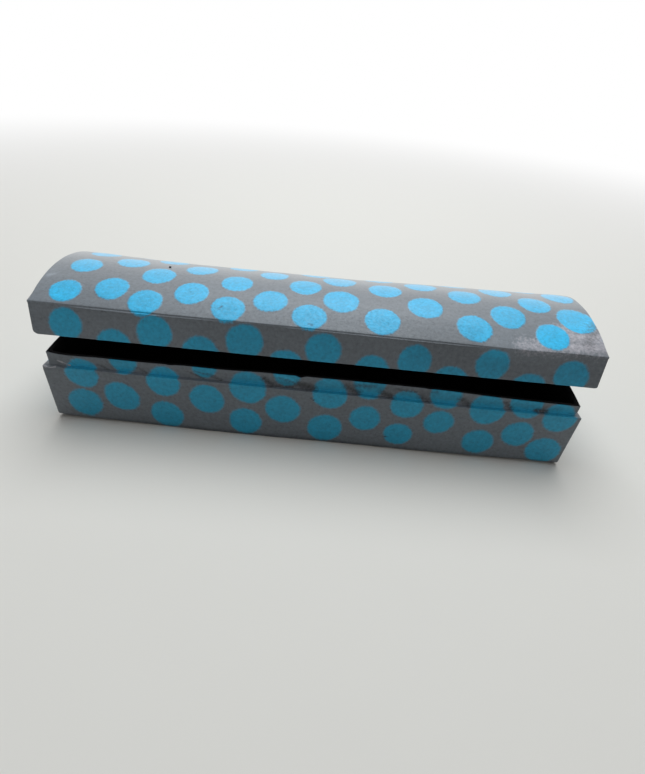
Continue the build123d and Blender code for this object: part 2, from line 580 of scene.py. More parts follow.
@dataclass(frozen=True)
class BoxShape(HandShape):
    """How the hand-made box strays from the true one: a sagging neck, uneven ledge and soft lower edges."""

    neck_front: HandLine = HandLine(
        (
            (-108, -0.3), (-103, -1.6), (-96, -1.6), (-88, -1.25), (-70, -1.3), (-50, -1.0), (-36, -1.2),
            (-20, -0.5), (28, -0.5), (44, -0.4), (57, -0.65), (75, -1.5), (96, -2.0), (108, -2.0),
        ),
        3.0,
    )
    neck_end: HandLine = HandLine(
        ((-33, 0), (-30, 0.5), (-25, 1.1), (-12, 1.5), (5, 0.9), (20, 0.3), (33, 0)), 2.0
    )
    neck_end_left: float = 0.8
    neck_end_reach: float = 2.2
    neck_end_blend: float = 1.8
    neck_shift_left: float = 0.3
    neck_shift_right: float = 0.6
    neck_back: HandLine = HandLine(((-106, -0.3), (-50, -0.7), (20, -0.2), (106, -0.6)))
    dents: tuple[Triple, ...] = ((-5.0, 1.3, 0.75), (-58.0, 1.6, 0.25), (47.0, 1.4, 0.2))
    ledge_line: HandLine = HandLine(((-106, -0.1), (-60, -0.25), (20, -0.2), (63, -0.4), (106, -0.2)))
    ledge_reach: float = 10.0
    ledge_blend: float = 2.0
    foot_front: HandLine = HandLine(
        (
            (-108, 2.4), (-70, 0.8), (-43, 0.3), (-19, 0.3), (-17, 0.05), (-13, 0.05), (-11, 0.3),
            (10, 0.4), (41, 0.8), (106, 2.2),
        ),
        1.0,
    )
    foot_back: HandLine = HandLine(((-108, 1.6), (-30, 0.8), (50, 1.2), (108, 1.8)))
    foot_left: HandLine = HandLine(((-35, 3.0), (0, 1.2), (35, 1.5)))
    foot_right: HandLine = HandLine(((-35, 1.6), (0, 1.0), (35, 1.4)))
    wall_ripple: Ripple = Ripple(38.0, seed=11)
    wall_depth: float = 0.28
    left_reach: float = 0.44
    right_reach: float = 0.1
    crumple: Ripple = Ripple(2.6, seed=5)
    crumple_end: float = -97.0
    crumple_run: float = 5.0
    crumple_height: float = 2.2
    crumple_depth: float = 1.9
    crumple_blend: float = 0.6
    crumple_drop: float = 0.5
    crumple_push: float = 0.35

    def place(self, points: Array) -> Array:
        """Bends true points of the box to the hand-made shape.

        Args:
            points: The true points, one row each.

        Returns:
            The bent points.
        """
        s = self.sizes
        x, y, z = points.T.copy()
        foot_ends = np.where(x < 0, self.foot_left.at(y), self.foot_right.at(y))
        foot_sides = np.where(y < 0, self.foot_front.at(x), self.foot_back.at(x))
        depth_y, level = round_edge(s.half_width - np.abs(y), z, foot_sides)
        depth_x, level = round_edge(s.half_length - np.abs(x), level, foot_ends)
        x, y = np.sign(x) * (s.half_length - depth_x), np.sign(y) * (s.half_width - depth_y)
        front = smooth_step(0.5 - y / (2 * s.half_width))
        level += self._sag(x, y, z, front)
        ripple = self.wall_depth * self.wall_ripple.share(points)
        y = y - np.sign(y) * self.near_side(y) * (self.film + ripple * self.calm(depth_x))
        neck = smooth_step((z - s.ledge) / self.ledge_blend)
        reach = (1 - neck) * np.where(x < 0, self.left_reach, self.right_reach) - self.film
        reach += neck * np.where(x < 0, self.neck_shift_left, self.neck_shift_right)
        x = x + np.sign(x) * self.near_end(x, s.half_length) * (reach - ripple * self.calm(depth_y))
        creased = front * smooth_step((self.crumple_end - x) / self.crumple_run)
        creased *= np.exp(-(((z - s.ledge) / self.crumple_height) ** 2))
        creased *= smooth_step((self.crumple_depth - depth_y) / self.crumple_blend)
        level -= self.crumple_drop * creased * self.crumple.share(points)
        y = y + self.crumple_push * creased * self.crumple.share(points[:, ::-1])
        return np.stack([x, y, level], axis=1)

    def _sag(self, x: Array, y: Array, z: Array, front: Array) -> Array:
        """How far the neck's edge and the ledge stray up or down.

        Args:
            x: The X of each point.
            y: The Y of each point.
            z: The true level of each point.
            front: 1 at the front of the case, and 0 at its back.

        Returns:
            The rise of each point, negative where it sags.
        """
        s = self.sizes
        neck_share = smooth_step((z - s.ledge) / (s.neck_top - s.ledge))
        ledge_share = smooth_step((z - s.ledge + self.ledge_reach) / self.ledge_reach) * (1 - neck_share)
        neck = front * self.neck_front.at(x) + (1 - front) * self.neck_back.at(x)
        for where, width, depth in self.dents:
            neck -= front * depth * np.exp(-(((x - where) / width) ** 2))
        at_end = smooth_step((np.abs(x) - s.neck_half_length + self.neck_end_reach) / self.neck_end_blend)
        neck += at_end * self.neck_end.at(y) * np.where(x < 0, self.neck_end_left, 1.0)
        return neck * neck_share + self.ledge_line.at(x) * ledge_share


@dataclass(frozen=True)
class LidShape(HandShape):
    """How the hand-made lid strays from the true one: a flattened arch, a sloping fold and soft corners."""

    crown: HandLine = HandLine(
        (
            (-110, -0.9), (-104, -0.95), (-95, -1.25), (-76, -1.9), (-58, -2.15), (16, -2.1), (44, -1.3),
            (71, -0.8), (90, -0.5),
        )
    )
    right_end: HandLine = HandLine(
        ((-40, 0), (-31, -0.55), (-21, -1.3), (-12, -1.15), (-4, -0.9), (3, -0.25), (9, 0)), 2.0
    )
    right_end_start: float = 90.0
    right_end_blend: float = 14.0
    fold_line: HandLine = HandLine(
        ((-110, -0.2), (-60, -0.45), (0, -0.4), (60, -0.7), (84, -0.8), (96, -0.35), (110, -0.5))
    )
    skirt_line: HandLine = HandLine(((-110, -0.35), (-100, -0.3), (0, -0.4), (60, -0.45), (110, -0.4)), 2.0)
    corner: float = 0.15
    end_lean_left: float = 0.6
    end_lean_right: float = 0.5
    end_lean_rise: float = 1.6
    end_edge: float = 0.3
    foot_left: float = 2.0
    foot_right: float = 1.0
    short_left: float = 0.4
    short_right: float = 0.04
    back_lean: float = 0.4
    back_lean_fade: float = 8.0
    wall_ripple: Ripple = Ripple(42.0, seed=23)
    wall_depth: float = 0.25
    wall_top: float = 6.0
    wall_fade: float = 5.0

    def bend(self, points: Array) -> Array:
        """Bends true points of the shut lid to the hand-made shape.

        Args:
            points: The true points, one row each.

        Returns:
            The bent points, with the lid still shut.
        """
        s = self.sizes
        x, y, z = points.T.copy()
        depth_x, depth_y = s.lid_half_length - np.abs(x), s.half_width - np.abs(y)
        depth_x, depth_y = round_edge(depth_x, depth_y, self.corner)
        foot = np.where(x < 0, self.foot_left, self.foot_right)
        depth_x, rise = round_edge(depth_x, z - s.lid_bottom, foot)
        y, z = np.sign(y) * (s.half_width - depth_y), s.lid_bottom + rise
        angle = np.arctan2(y, z - s.arch_level)
        radius = np.hypot(y, z - s.arch_level)
        rounded_x, depth_r = round_edge(depth_x, s.arch_radius - radius, self.end_edge)
        above = z > s.fold
        depth_x = np.where(above, rounded_x, depth_x)
        radius = np.where(above, s.arch_radius - depth_r, radius)
        share = np.clip((z - s.fold) / np.maximum(s.arch_height(y) - s.fold, TINY), 0.0, 1.0)
        radius = radius + self._sag(x, angle) * share
        y, z = radius * np.sin(angle), s.arch_level + radius * np.cos(angle)
        x = np.sign(x) * (s.lid_half_length - depth_x)
        ripple = self.wall_depth * self.wall_ripple.share(points) * self.calm(depth_x)
        y, z = self._lean_sides(x, y, z, ripple)
        lean = np.where(x < 0, self.end_lean_left, self.end_lean_right)
        lean = lean * smooth_step(self.end_lean_rise * share)
        x = x - np.sign(x) * self.near_end(x, s.lid_half_length) * lean
        across = 0.5 + x / (2 * s.lid_half_length)
        x = x + self.short_left * (1 - across) - self.short_right * across
        return np.stack([x, y, z], axis=1)

    def _sag(self, x: Array, angle: Array) -> Array:
        """How far the arch strays from a true one.

        Args:
            x: The X of each point.
            angle: Its angle back from the crown, in radians.

        Returns:
            The change of its radius.
        """
        sag = self.crown.at(x) * np.clip(1 - (angle / self.sizes.fold_angle) ** 2, 0.0, 1.0)
        at_right = smooth_step((x - self.right_end_start) / self.right_end_blend)
        return sag * (1 - at_right) + at_right * self.right_end.at(np.degrees(angle))

    def _lean_sides(self, x: Array, y: Array, z: Array, ripple: Array) -> tuple[Array, Array]:
        """Makes the fold and the skirt's edge stray, and the long walls ripple and lean.

        Args:
            x: The X of each point.
            y: The Y of each point.
            z: The level of each point.
            ripple: How far each point would sink into a wall.

        Returns:
            The new Y and level of each point.
        """
        s = self.sizes
        front = smooth_step(0.5 - y / s.half_width)
        up = (z - s.lid_bottom) / (s.fold - s.lid_bottom)
        skirt = self.skirt_line.at(x) * np.clip(1 - up, 0.0, 1.0)
        below_crown = 1 - smooth_step((z - s.fold) / (s.crown - s.fold))
        fold = self.fold_line.at(x) * np.clip(up, 0.0, 1.0) * below_crown
        z = z + front * (skirt + fold)
        wall = self.near_side(y) * smooth_step((s.fold + self.wall_top - z) / self.wall_fade)
        y = y - np.sign(y) * wall * (self.film + ripple)
        lean = self.back_lean * smooth_step(up) * smooth_step((s.fold - z) / self.back_lean_fade + 1)
        return y - (1 - front) * lean, z

    def place(self, points: Array) -> Array:
        """Bends true points of the shut lid and swings them to its rest angle."""
        s = self.sizes
        return swing(self.bend(points), s.hinge_y, s.hinge_z, s.ajar)


class Face(Enum):
    """The faces that carry paint."""

    BOX_FRONT = "box front"
    BOX_BACK = "box back"
    BOX_LEFT = "box left"
    BOX_RIGHT = "box right"
    NECK_FRONT = "neck front"
    NECK_BACK = "neck back"
    LID_FRONT = "lid front"
    LID_BACK = "lid back"
    LID_LEFT = "lid left"
    LID_RIGHT = "lid right"
    LID_TOP = "lid top"

    def spot(self, s: CaseSizes, along: float, level: float) -> Triple:
        """A true point on the face.

        Args:
            s: The case's sizes.
            along: X on the long faces, and Y on the ends.
            level: The height above the table on the box, above the skirt's edge on the lid's sides, and the
                distance back from the crown, along the arch, on its top.

        Returns:
            X, Y and Z, with the lid shut.
        """
        turn = level / s.arch_radius
        back, up = s.arch_radius * math.sin(turn), s.arch_radius * math.cos(turn)
        raised = s.lid_bottom + level
        return {
            Face.BOX_FRONT: (along, -s.half_width, level),
            Face.BOX_BACK: (along, s.half_width, level),
            Face.BOX_LEFT: (-s.half_length, along, level),
            Face.BOX_RIGHT: (s.half_length, along, level),
            Face.NECK_FRONT: (along, -s.neck_half_width, level),
            Face.NECK_BACK: (along, s.neck_half_width, level),
            Face.LID_FRONT: (along, -s.half_width, raised),
            Face.LID_BACK: (along, s.half_width, raised),
            Face.LID_LEFT: (-s.lid_half_length, along, raised),
            Face.LID_RIGHT: (s.lid_half_length, along, raised),
            Face.LID_TOP: (along, back, s.arch_level + up),
        }[self]


class Paint(Enum):
    """The marks besides the dots, by the name of each one's attribute: paint, scuffs, painted shade and
    painted light.
    """

    SMEAR = "smear"
    SILVER = "silver"
    # Lighter streaks on the crumpled ledge corner: a painted highlight where the crumple catches light,
    # partly scuffed paint.
    WEAR = "wear"
    # Painted shade: darker paint on the neck's foot under the lid, a painted contact shadow along the box's
    # foot, and a darker lid front.
    GRIME = "grime"
    # Lighter paint: scuffs on the lid and a cracked dot, and painted light along the ledge that lifts the
    # shade under the lid.
    RUBBED = "rubbed"


@dataclass(frozen=True)
class Strokes:
    """Strokes of one paint on a face: along and level of both ends, then the width and the strength."""

    paint: Paint
    face: Face
    spans: tuple[tuple[float, float, float, float, float, float], ...]

    def add_to(self, shell: Shell, sizes: CaseSizes) -> None:
        """Adds the strokes to a shell.

        Args:
            shell: The shell, whose points are still the true ones.
            sizes: The case's sizes.
        """
        for *ends, width, strength in self.spans:
            start, end = (np.array(self.face.spot(sizes, *spot)) for spot in (ends[:2], ends[2:]))
            run = end - start
            share = np.clip((shell.points - start) @ run / max(float(run @ run), TINY), 0.0, 1.0)
            distance = np.linalg.norm(shell.points - start - share[:, None] * run, axis=1)
            cover = strength * smooth_step(1.0 - distance / width)
            shell.marks[self.paint.value] = np.maximum(shell.marks.get(self.paint.value, 0.0), cover)


# How much of the darker blue the dots of a face have, as painted shade: none on the lit arch, most on the
# faces turned from the light. It is 1 on the faces left out here.
DOT_PAINTED_SHADE = {Face.LID_TOP: 0.0, Face.LID_FRONT: 0.85}


@dataclass(frozen=True)
class DotRow:
    """One row of dots on a face.

    Each dot is how far along the face it lies, how far it strays from the row's level, and its radius. Where
    the photograph shows the face, these are rounded from a measurement of its dots.
    """

    face: Face
    level: float
    dots: tuple[Triple, ...]


class DotLayer:
    """The dots of one part of the case, each a little longer one way, with a tone that is partly random and
    partly painted shade by face.
    """

    loose_drag = 0.08
    tone_play = 0.1

    def __init__(self, rows: Sequence[DotRow], sizes: CaseSizes, place: Place, seed: int) -> None:
        """Places every dot of the rows.

        Args:
            rows: The rows of dots.
            sizes: The case's sizes.
            place: Bends and poses true points.
            seed: The seed of the dots' small differences.
        """
        draw = random.Random(seed)
        spots: list[Triple] = []
        pulls: list[Triple] = []
        self.radii: list[float] = []
        self.tones: list[float] = []
        for row in rows:
            for along, rise, radius in row.dots:
                pull_along, pull_up = (draw.uniform(-1, 1) * self.loose_drag for _ in range(2))
                spots.append(row.face.spot(sizes, along, row.level + rise))
                pulls.append(row.face.spot(sizes, along + pull_along, row.level + rise + pull_up))
                # Dots on faces turned from the light get the darker blue, a painted shade.
                face_shade = DOT_PAINTED_SHADE.get(row.face, 1.0)
                self.radii.append(radius)
                self.tones.append((1 - self.tone_play) * face_shade + self.tone_play * draw.random())
        self.centres = place(np.array(spots))
        self.drags = place(np.array(pulls)) - self.centres


def dot_points(name: str, *layers: DotLayer) -> Object:
    """Makes the dots of some layers an object, which goes once every skin has read it.

    Args:
        name: The object's name.
        layers: The layers that it holds.

    Returns:
        An object of loose points with their radius, tone and drag.
    """
    mesh = bpy.data.meshes.new(name)
    centres = np.concatenate([layer.centres for layer in layers]) * MM
    radii = np.concatenate([layer.radii for layer in layers]) * MM
    tones = np.concatenate([layer.tones for layer in layers])
    drags = np.concatenate([layer.drags for layer in layers]).ravel()
    mesh.from_pydata(centres.tolist(), [], [])
    for part, kind, key, values in (
        ("radius", "FLOAT", "value", radii),
        ("tone", "FLOAT", "value", tones),
        ("drag", "FLOAT_VECTOR", "vector", drags),
    ):
        mesh.attributes.new(part, kind, "POINT").data.foreach_set(key, values.astype(np.float32))
    return show(name, mesh)


@dataclass(frozen=True)
class SkinRelief:
    """How deep and how wide the lumps under a painted skin are, in millimetres."""

    depth: float = 0.12
    size: float = 6.0


class Dauber:
    """Geometry Nodes that dab the dots on a skin and raise its lumps.

    Each point of the skin learns how far it lies from the edge of its nearest dot, how far from its middle,
    and that dot's tone. The dots' outlines wobble, the paint stands a little proud, and lumps only sink.
    Lengths are in millimetres.
    """

    wobble = 0.6
    wobble_size = 5.0
    film = 0.05
    film_edge = 0.3
    seed = 7.0
    noises = {"Wobble Size": {"Detail": 2.0}, "Relief Size": {"Detail": 3.0, "Roughness": 0.45}}
    kinds = {
        "Geometry": "Geometry",
        "Dots": "Object",
        "Wobble": "Float",
        "Wobble Size": "Float",
        "Film": "Float",
        "Relief": "Float",
        "Relief Size": "Float",
        "Seed": "Float",
        "Material": "Material",
    }

    def __init__(self) -> None:
        """Builds the tree."""
        self.tree = bpy.data.node_groups.new("dauber_dots", "GeometryNodeTree")
        sockets = self.tree.interface
        self.sockets = {
            name: sockets.new_socket(name, in_out="INPUT", socket_type=f"NodeSocket{kind}").identifier
            for name, kind in self.kinds.items()
        }
        sockets.new_socket("Geometry", in_out="OUTPUT", socket_type="NodeSocketGeometry")
        add = partial(add_node, self.tree)
        given, here = add("NodeGroupInput"), add("GeometryNodeInputPosition")
        noises = []
        for size, look in self.noises.items():
            fineness = add(MATH, [1.0, (given, size)], operation="DIVIDE")
            inputs = {"Vector": here, "W": (given, "Seed"), "Scale": fineness, **look}
            noises.append(add(NOISE, inputs, noise_dimensions="4D"))
        drift, lumps = noises
        centred = add(VECTOR_MATH, [(drift, "Color"), (0.5, 0.5, 0.5)], operation="SUBTRACT")
        shift = add(VECTOR_MATH, [centred, (given, "Wobble")], operation="SCALE")
        measures = self._measure((given, "Dots"), here, add(VECTOR_MATH, [here, shift], operation="ADD"))
        geometry: Any = (given, "Geometry")
        for name, value in measures.items():
            inputs = {"Geometry": geometry, "Name": name, "Value": value}
            geometry = add("GeometryNodeStoreNamedAttribute", inputs, data_type="FLOAT")
        ramp = {"From Min": self.film_edge * MM, "From Max": -self.film_edge * MM, "To Max": (given, "Film")}
        painted = add(MAP_RANGE, {"Value": measures["dot_edge"], **ramp}, interpolation_type="SMOOTHSTEP")
        sunk = add(MATH, [lumps, (given, "Relief")], operation="MULTIPLY")
        height = add(MATH, [painted, sunk], operation="SUBTRACT")
        outer = add(FIELD, {"Name": "outer"}, data_type="FLOAT")
        shown = add(MATH, [height, outer], operation="MULTIPLY")
        lift = add(VECTOR_MATH, [add("GeometryNodeInputNormal"), shown], operation="SCALE")
        moved = add("GeometryNodeSetPosition", {"Geometry": geometry, "Offset": lift})
        real = add("GeometryNodeRealizeInstances", {"Geometry": moved})
        finished = add("GeometryNodeSetMaterial", {"Geometry": real, "Material": (given, "Material")})
        add("NodeGroupOutput", {"Geometry": finished})

    def _measure(self, dots: tuple[Node, str], here: Node, felt: Node) -> dict[str, Node]:
        """Measures each point of a skin against its nearest dot, which its drag stretches one way.

        Args:
            dots: The object that holds the dots.
            here: The place of a point.
            felt: The skin's place, shifted so that the dots' outlines wobble.

        Returns:
            The measures, by the name of the attribute that keeps each.
        """
        add = partial(add_node, self.tree)
        cloud = (add("GeometryNodeObjectInfo", {"Object": dots}), "Geometry")
        nearest = add("GeometryNodeSampleNearest", {"Geometry": cloud, "Sample Position": felt})
        found = {}
        kinds = {"centre": "FLOAT_VECTOR", "drag": "FLOAT_VECTOR", "radius": "FLOAT", "tone": "FLOAT"}
        for name, kind in kinds.items():
            value = here if name == "centre" else add(FIELD, {"Name": name}, data_type=kind)
            inputs = {"Geometry": cloud, "Value": value, "Index": nearest}
            found[name] = add("GeometryNodeSampleIndex", inputs, data_type=kind)
        offset = add(VECTOR_MATH, [felt, found["centre"]], operation="SUBTRACT")
        way = add(VECTOR_MATH, [found["drag"]], operation="NORMALIZE")
        pulled = add(VECTOR_MATH, [found["drag"]], operation="LENGTH")
        along = add(VECTOR_MATH, [offset, way], operation="DOT_PRODUCT")
        ahead = add(MATH, [(along, "Value"), 0.0], operation="MAXIMUM")
        amount = add(MATH, [ahead, (pulled, "Value")], operation="MULTIPLY")
        slack = add(VECTOR_MATH, [way, amount], operation="SCALE")
        drawn = add(VECTOR_MATH, [offset, slack], operation="SUBTRACT")
        distance = (add(VECTOR_MATH, [drawn], operation="LENGTH"), "Value")
        return {
            "dot_edge": add(MATH, [distance, found["radius"]], operation="SUBTRACT"),
            "dot_radial": add(MATH, [distance, found["radius"]], operation="DIVIDE"),
            "dot_tone": found["tone"],
        }

    def dab(self, piece: Object, dots: Object, material: Material, relief: SkinRelief) -> None:
        """Dabs the dots on a skin, and leaves it a plain mesh with no modifier.

        Args:
            piece: The skin, which has its outer attribute.
            dots: The points of the dots.
            material: The painted finish.
            relief: The lumps under the paint.
        """
        modifier = piece.modifiers.new("dauber", "NODES")
        modifier.node_group = self.tree
        values = {
            "Dots": dots,
            "Wobble": 2 * self.wobble * MM,
            "Wobble Size": self.wobble_size * MM,
            "Film": self.film * MM,
            "Relief": relief.depth * MM,
            "Relief Size": relief.size * MM,
            "Seed": self.seed,
            "Material": material,
        }
        for name, value in values.items():
            modifier[self.sockets[name]] = value
        plain = bpy.data.meshes.new_from_object(piece.evaluated_get(bpy.context.evaluated_depsgraph_get()))
        piece.modifiers.clear()
        piece.data = plain


def begin_material(name: str) -> tuple[Material, Tree, tuple[Node, str]]:
    """Starts an empty material.

    Args:
        name: The material's name.

    Returns:
        The material, its tree, and the output that gives each point's place on its piece.
    """
    made = bpy.data.materials.new(name)
    made.use_nodes = True
    made.node_tree.nodes.clear()
    return made, made.node_tree, (add_node(made.node_tree, "ShaderNodeTexCoord"), "Object")


def coats(tree: Tree, ground: Any, *layers: tuple[Any, Any]) -> Any:
    """Lays colours over a ground.

    Args:
        tree: The material's tree.
        ground: The first colour.
        layers: For each further colour, the share of it that covers, and the colour.

    Returns:
        The colour that shows.
    """
    for share, colour in layers:
        inputs = {"Factor": share, "A": ground, "B": colour}
        ground = add_node(tree, "ShaderNodeMix", inputs, data_type="RGBA")
    return ground


def rays_of(tree: Tree, first: str, *others: str) -> Any:
    """Finds the rays of some kinds.

    Args:
        tree: The tree that asks.
        first: One kind, by the name of the output that tells it.
        others: The other kinds.

    Returns:
        1 for a ray of any of these kinds, and 0 for any other.
    """
    rays = add_node(tree, "ShaderNodeLightPath")
    found: Any = (rays, first)
    for kind in others:
        found = add_node(tree, MATH, [found, (rays, kind)], operation="MAXIMUM")
    return found


@dataclass(frozen=True)
class PaintedPaper:
    """Satin acrylic on pasted paper: grey laid on with a brush, and blue dots dabbed with a round sponge.

    The grey is soft and a little streaky along the case. Each dot is thick at its rim and thinner in the
    middle, with faint rings where the sponge was turned. The satin film hardly shines from above, and gleams
    where it is seen at a low angle. Lengths are in millimetres.
    """

    grey: str = "#646A70"
    grey_light: str = "#6F767D"
    grey_dark: str = "#585E64"
    blue: str = "#18AFDF"
    # Painted shade: the darker blue of dots on faces turned from the light.
    blue_shaded: str = "#1894B7"
    blue_middle: str = "#1A86A6"
    silver: str = "#ACA9B0"
    smear: str = "#222225"
    # Light grey of the crumpled ledge corner: a painted highlight, partly scuffed paint.
    worn_and_highlight: str = "#A3A3A8"
    brush_width: float = 0.8
    brush_run: float = 16.0
    brush_shade: float = 0.3
    cloud_size: float = 22.0
    mottle_size: float = 1.5
    mottle_depth: float = 0.6
    sponge_grain: float = 0.9
    silver_grain: float = 1.0
    # Paper fibres are finer than this, and are drawn this coarse so that they show.
    paper_grain: float = 0.45
    noise_low: float = 0.3
    noise_high: float = 0.7
    ragged: float = 1.1
    lit_blur: float = 0.5
    side_blur: float = 0.8
    blotch: float = 1.1
    thin_edge: float = 0.6
    thin_heart: float = 0.1
    thin_depth: float = 0.35
    swirl_turns: float = 16.0
    swirl_stray: float = 14.0
    swirl_depth: float = 0.22
    smear_softness: float = 0.9
    worn_and_highlight_softness: float = 0.3
    silver_softness: float = 0.6
    fibre_height: float = 0.03
    streak_height: float = 0.03
    grain_height: float = 0.05
    dot_height: float = 0.06
    smoothest: float = 0.44
    roughest: float = 0.6
    ior: float = 1.47
    sheen: float = 1.0
    sheen_roughness: float = 0.28
    sheen_start: float = 0.25
    sheen_full: float = 0.8

    def material(self, name: str) -> Material:
        """Builds the finish.

        Args:
            name: The material's name.

        Returns:
            The material.
        """
        made, tree, where = begin_material(name)
        sizes = {
            "grain": (self.sponge_grain, 3.0),
            "mottle": (self.mottle_size, 3.0),
            "clouds": (self.cloud_size, 3.0),
            "silver": (self.silver_grain, 3.0),
            "blotches": (self.blotch, 4.0),
            "fibres": (self.paper_grain, 4.0),
        }
        noises = {
            part: add_node(tree, NOISE, {"Vector": where, "Scale": 1 / (size * MM), "Detail": detail})
            for part, (size, detail) in sizes.items()
        }
        grain = noises["grain"]
        streaks = self._streaks(tree, where)
        dots = self._dots(tree, grain)
        grey = self._grey(tree, noises, streaks)
        colour = coats(tree, grey, (dots, self._blue(tree, noises["blotches"])))
        # The brightness carries the strokes' painted shade and painted light as well as the mottling.
        tone = self._tone(tree, noises["mottle"])
        colour = add_node(tree, VECTOR_MATH, [colour, tone], operation="SCALE")
        smear = self._patch(tree, Paint.SMEAR, grain, self.smear_softness)
        # A painted highlight on the crumpled ledge corner, partly scuffed paint.
        worn_and_highlight = self._patch(tree, Paint.WEAR, grain, self.worn_and_highlight_softness)
        colour = coats(tree, colour, (smear, linear(self.smear)), (worn_and_highlight, linear(self.worn_and_highlight)))
        height: Any = 0.0
        for part, rise in (
            (noises["fibres"], self.fibre_height),
            (streaks, self.streak_height),
            (grain, self.grain_height),
            (dots, self.dot_height),
        ):
            height = add_node(tree, MATH, [part, rise, height], operation="MULTIPLY_ADD")
        bump = add_node(tree, BUMP, {"Strength": 1.0, "Distance": MM, "Height": height})
        gloss = self._ramp(tree, grain, self.smoothest, self.roughest)
        inputs = {
            "Base Color": colour,
            "Roughness": gloss,
            "Normal": bump,
            "IOR": self.ior,
            "Coat Weight": self._sheen(tree),
            "Coat Roughness": self.sheen_roughness,
        }
        add_node(tree, OUTPUT, {"Surface": add_node(tree, SURFACE, inputs)})
        return made

    def _ramp(self, tree: Tree, noise: Node, low: float, high: float) -> Node:
        """Spreads a noise, which seldom leaves the middle of its range, from low to high."""
        return add_node(tree, MAP_RANGE, [noise, self.noise_low, self.noise_high, low, high])

    def _sheen(self, tree: Tree) -> Node:
        """How much the film gleams: not at all face on, and fully at a low angle.

        Args:
            tree: The material's tree.

        Returns:
            The weight of the coat.
        """
        slant = (add_node(tree, "ShaderNodeLayerWeight", {"Blend": 0.5}), "Facing")
        inputs = [slant, self.sheen_start, self.sheen_full, 0.0, self.sheen]
        return add_node(tree, MAP_RANGE, inputs, interpolation_type="SMOOTHSTEP")

    def _streaks(self, tree: Tree, where: tuple[Node, str]) -> Node:
        """Draws the brush's streaks, which run along the case.

        Args:
            tree: The material's tree.
            where: The place on the piece.

        Returns:
            The streaks, as noise.
        """
        along, across = 1 / (self.brush_run * MM), 1 / (self.brush_width * MM)
        squeezed = add_node(tree, "ShaderNodeMapping", {"Vector": where, "Scale": (along, across, across)})
        return add_node(tree, NOISE, {"Vector": squeezed, "Scale": 1.0, "Detail": 2.0})

    def _tone(self, tree: Tree, mottle: Node) -> Node:
        """How bright the paint is: finely mottled, darker where painted shade is laid, and lighter at scuffs
        and where painted light is laid.

        Args:
            tree: The material's tree.
            mottle: The noise of the mottling.

        Returns:
            What the colour is multiplied by.
        """
        grime = (add_node(tree, ATTRIBUTE, attribute_name=Paint.GRIME.value), "Fac")
        rubbed = (add_node(tree, ATTRIBUTE, attribute_name=Paint.RUBBED.value), "Fac")
        inputs = [mottle, self.mottle_depth, 1 - self.mottle_depth / 2]
        mottled = add_node(tree, MATH, inputs, operation="MULTIPLY_ADD")
        darker = add_node(tree, MATH, [mottled, grime], operation="SUBTRACT")
        return add_node(tree, MATH, [darker, rubbed], operation="ADD")

    @staticmethod
    def _patch(tree: Tree, paint: Paint, noise: Node, softness: float) -> Node:
        """Breaks a painted mark up: a full mark covers all, and a weak one only the noise's peaks.

        Args:
            tree: The material's tree.
            paint: The mark.
            noise: The noise that breaks it up.
            softness: How softly it ends.

        Returns:
            How much of it covers.
        """
        mark = add_node(tree, ATTRIBUTE, attribute_name=paint.value)
        heaped = add_node(tree, MATH, [(mark, "Fac"), noise], operation="ADD")
        return add_node(
            tree, MAP_RANGE, {"Value": heaped, "From Min": 1 - softness / 2, "From Max": 1 + softness / 2}
        )

    def _dots(self, tree: Tree, grain: Node) -> Node:
        """Finds where the blue lies: inside the dots' edges, which are a little ragged.

        Args:
            tree: The material's tree.
            grain: The sponge's grain.

        Returns:
            1 inside a dot and 0 outside it.
        """
        edge, dot_shade = (add_node(tree, ATTRIBUTE, attribute_name=name) for name in ("dot_edge", "dot_tone"))
        rough = add_node(tree, MATH, [grain, self.ragged * MM, (edge, "Fac")], operation="MULTIPLY_ADD")
        centred = add_node(tree, MATH, [rough, self.ragged / 2 * MM], operation="SUBTRACT")
        ramp = {"To Min": self.lit_blur * MM, "To Max": self.side_blur * MM}
        blur = add_node(tree, MAP_RANGE, {"Value": (dot_shade, "Fac"), **ramp})
        inner = add_node(tree, MATH, [blur, -1.0], operation="MULTIPLY")
        inputs = {"Value": centred, "From Min": blur, "From Max": inner}
        return add_node(tree, MAP_RANGE, inputs, interpolation_type="SMOOTHSTEP")

    def _grey(self, tree: Tree, noises: dict[str, Node], streaks: Node) -> Node:
        """Mixes the grey ground: clouded and streaked, with silvery sponge marks where the paint is fresh.

        Args:
            tree: The material's tree.
            noises: The finish's noises.
            streaks: The brush's streaks.

        Returns:
            The colour.
        """
        return coats(
            tree,
            linear(self.grey_dark),
            (noises["clouds"], linear(self.grey_light)),
            (0.5, linear(self.grey)),
            (self._ramp(tree, streaks, 0.0, self.brush_shade), linear(self.grey_light)),
            (self._patch(tree, Paint.SILVER, noises["silver"], self.silver_softness), linear(self.silver)),
        )

    def _blue(self, tree: Tree, blotches: Node) -> Node:
        """Mixes the blue of the dots, with a thin, darker middle and faint rings, and the darker blue as
        painted shade on faces turned from the light.

        Args:
            tree: The material's tree.
            blotches: The noise of the thin places.

        Returns:
            The colour.
        """
        tone, radial = (add_node(tree, ATTRIBUTE, attribute_name=name) for name in ("dot_tone", "dot_radial"))
        inputs = [(radial, "Fac"), self.thin_edge, self.thin_heart, 0.0, self.thin_depth]
        middle = add_node(tree, MAP_RANGE, inputs, interpolation_type="SMOOTHSTEP")
        thin = add_node(tree, MATH, [middle, blotches], operation="MULTIPLY")
        stray = add_node(tree, MATH, [blotches, self.swirl_stray], operation="MULTIPLY")
        turn = add_node(tree, MATH, [(radial, "Fac"), self.swirl_turns, stray], operation="MULTIPLY_ADD")
        wave = add_node(tree, MATH, [turn], operation="SINE")
        swirl = add_node(tree, MAP_RANGE, {"Value": wave, "To Max": self.swirl_depth})
        thinned = add_node(tree, MATH, [thin, swirl], operation="ADD")
        return coats(
            tree,
            linear(self.blue),
            ((tone, "Fac"), linear(self.blue_shaded)),
            (thinned, linear(self.blue_middle)),
        )


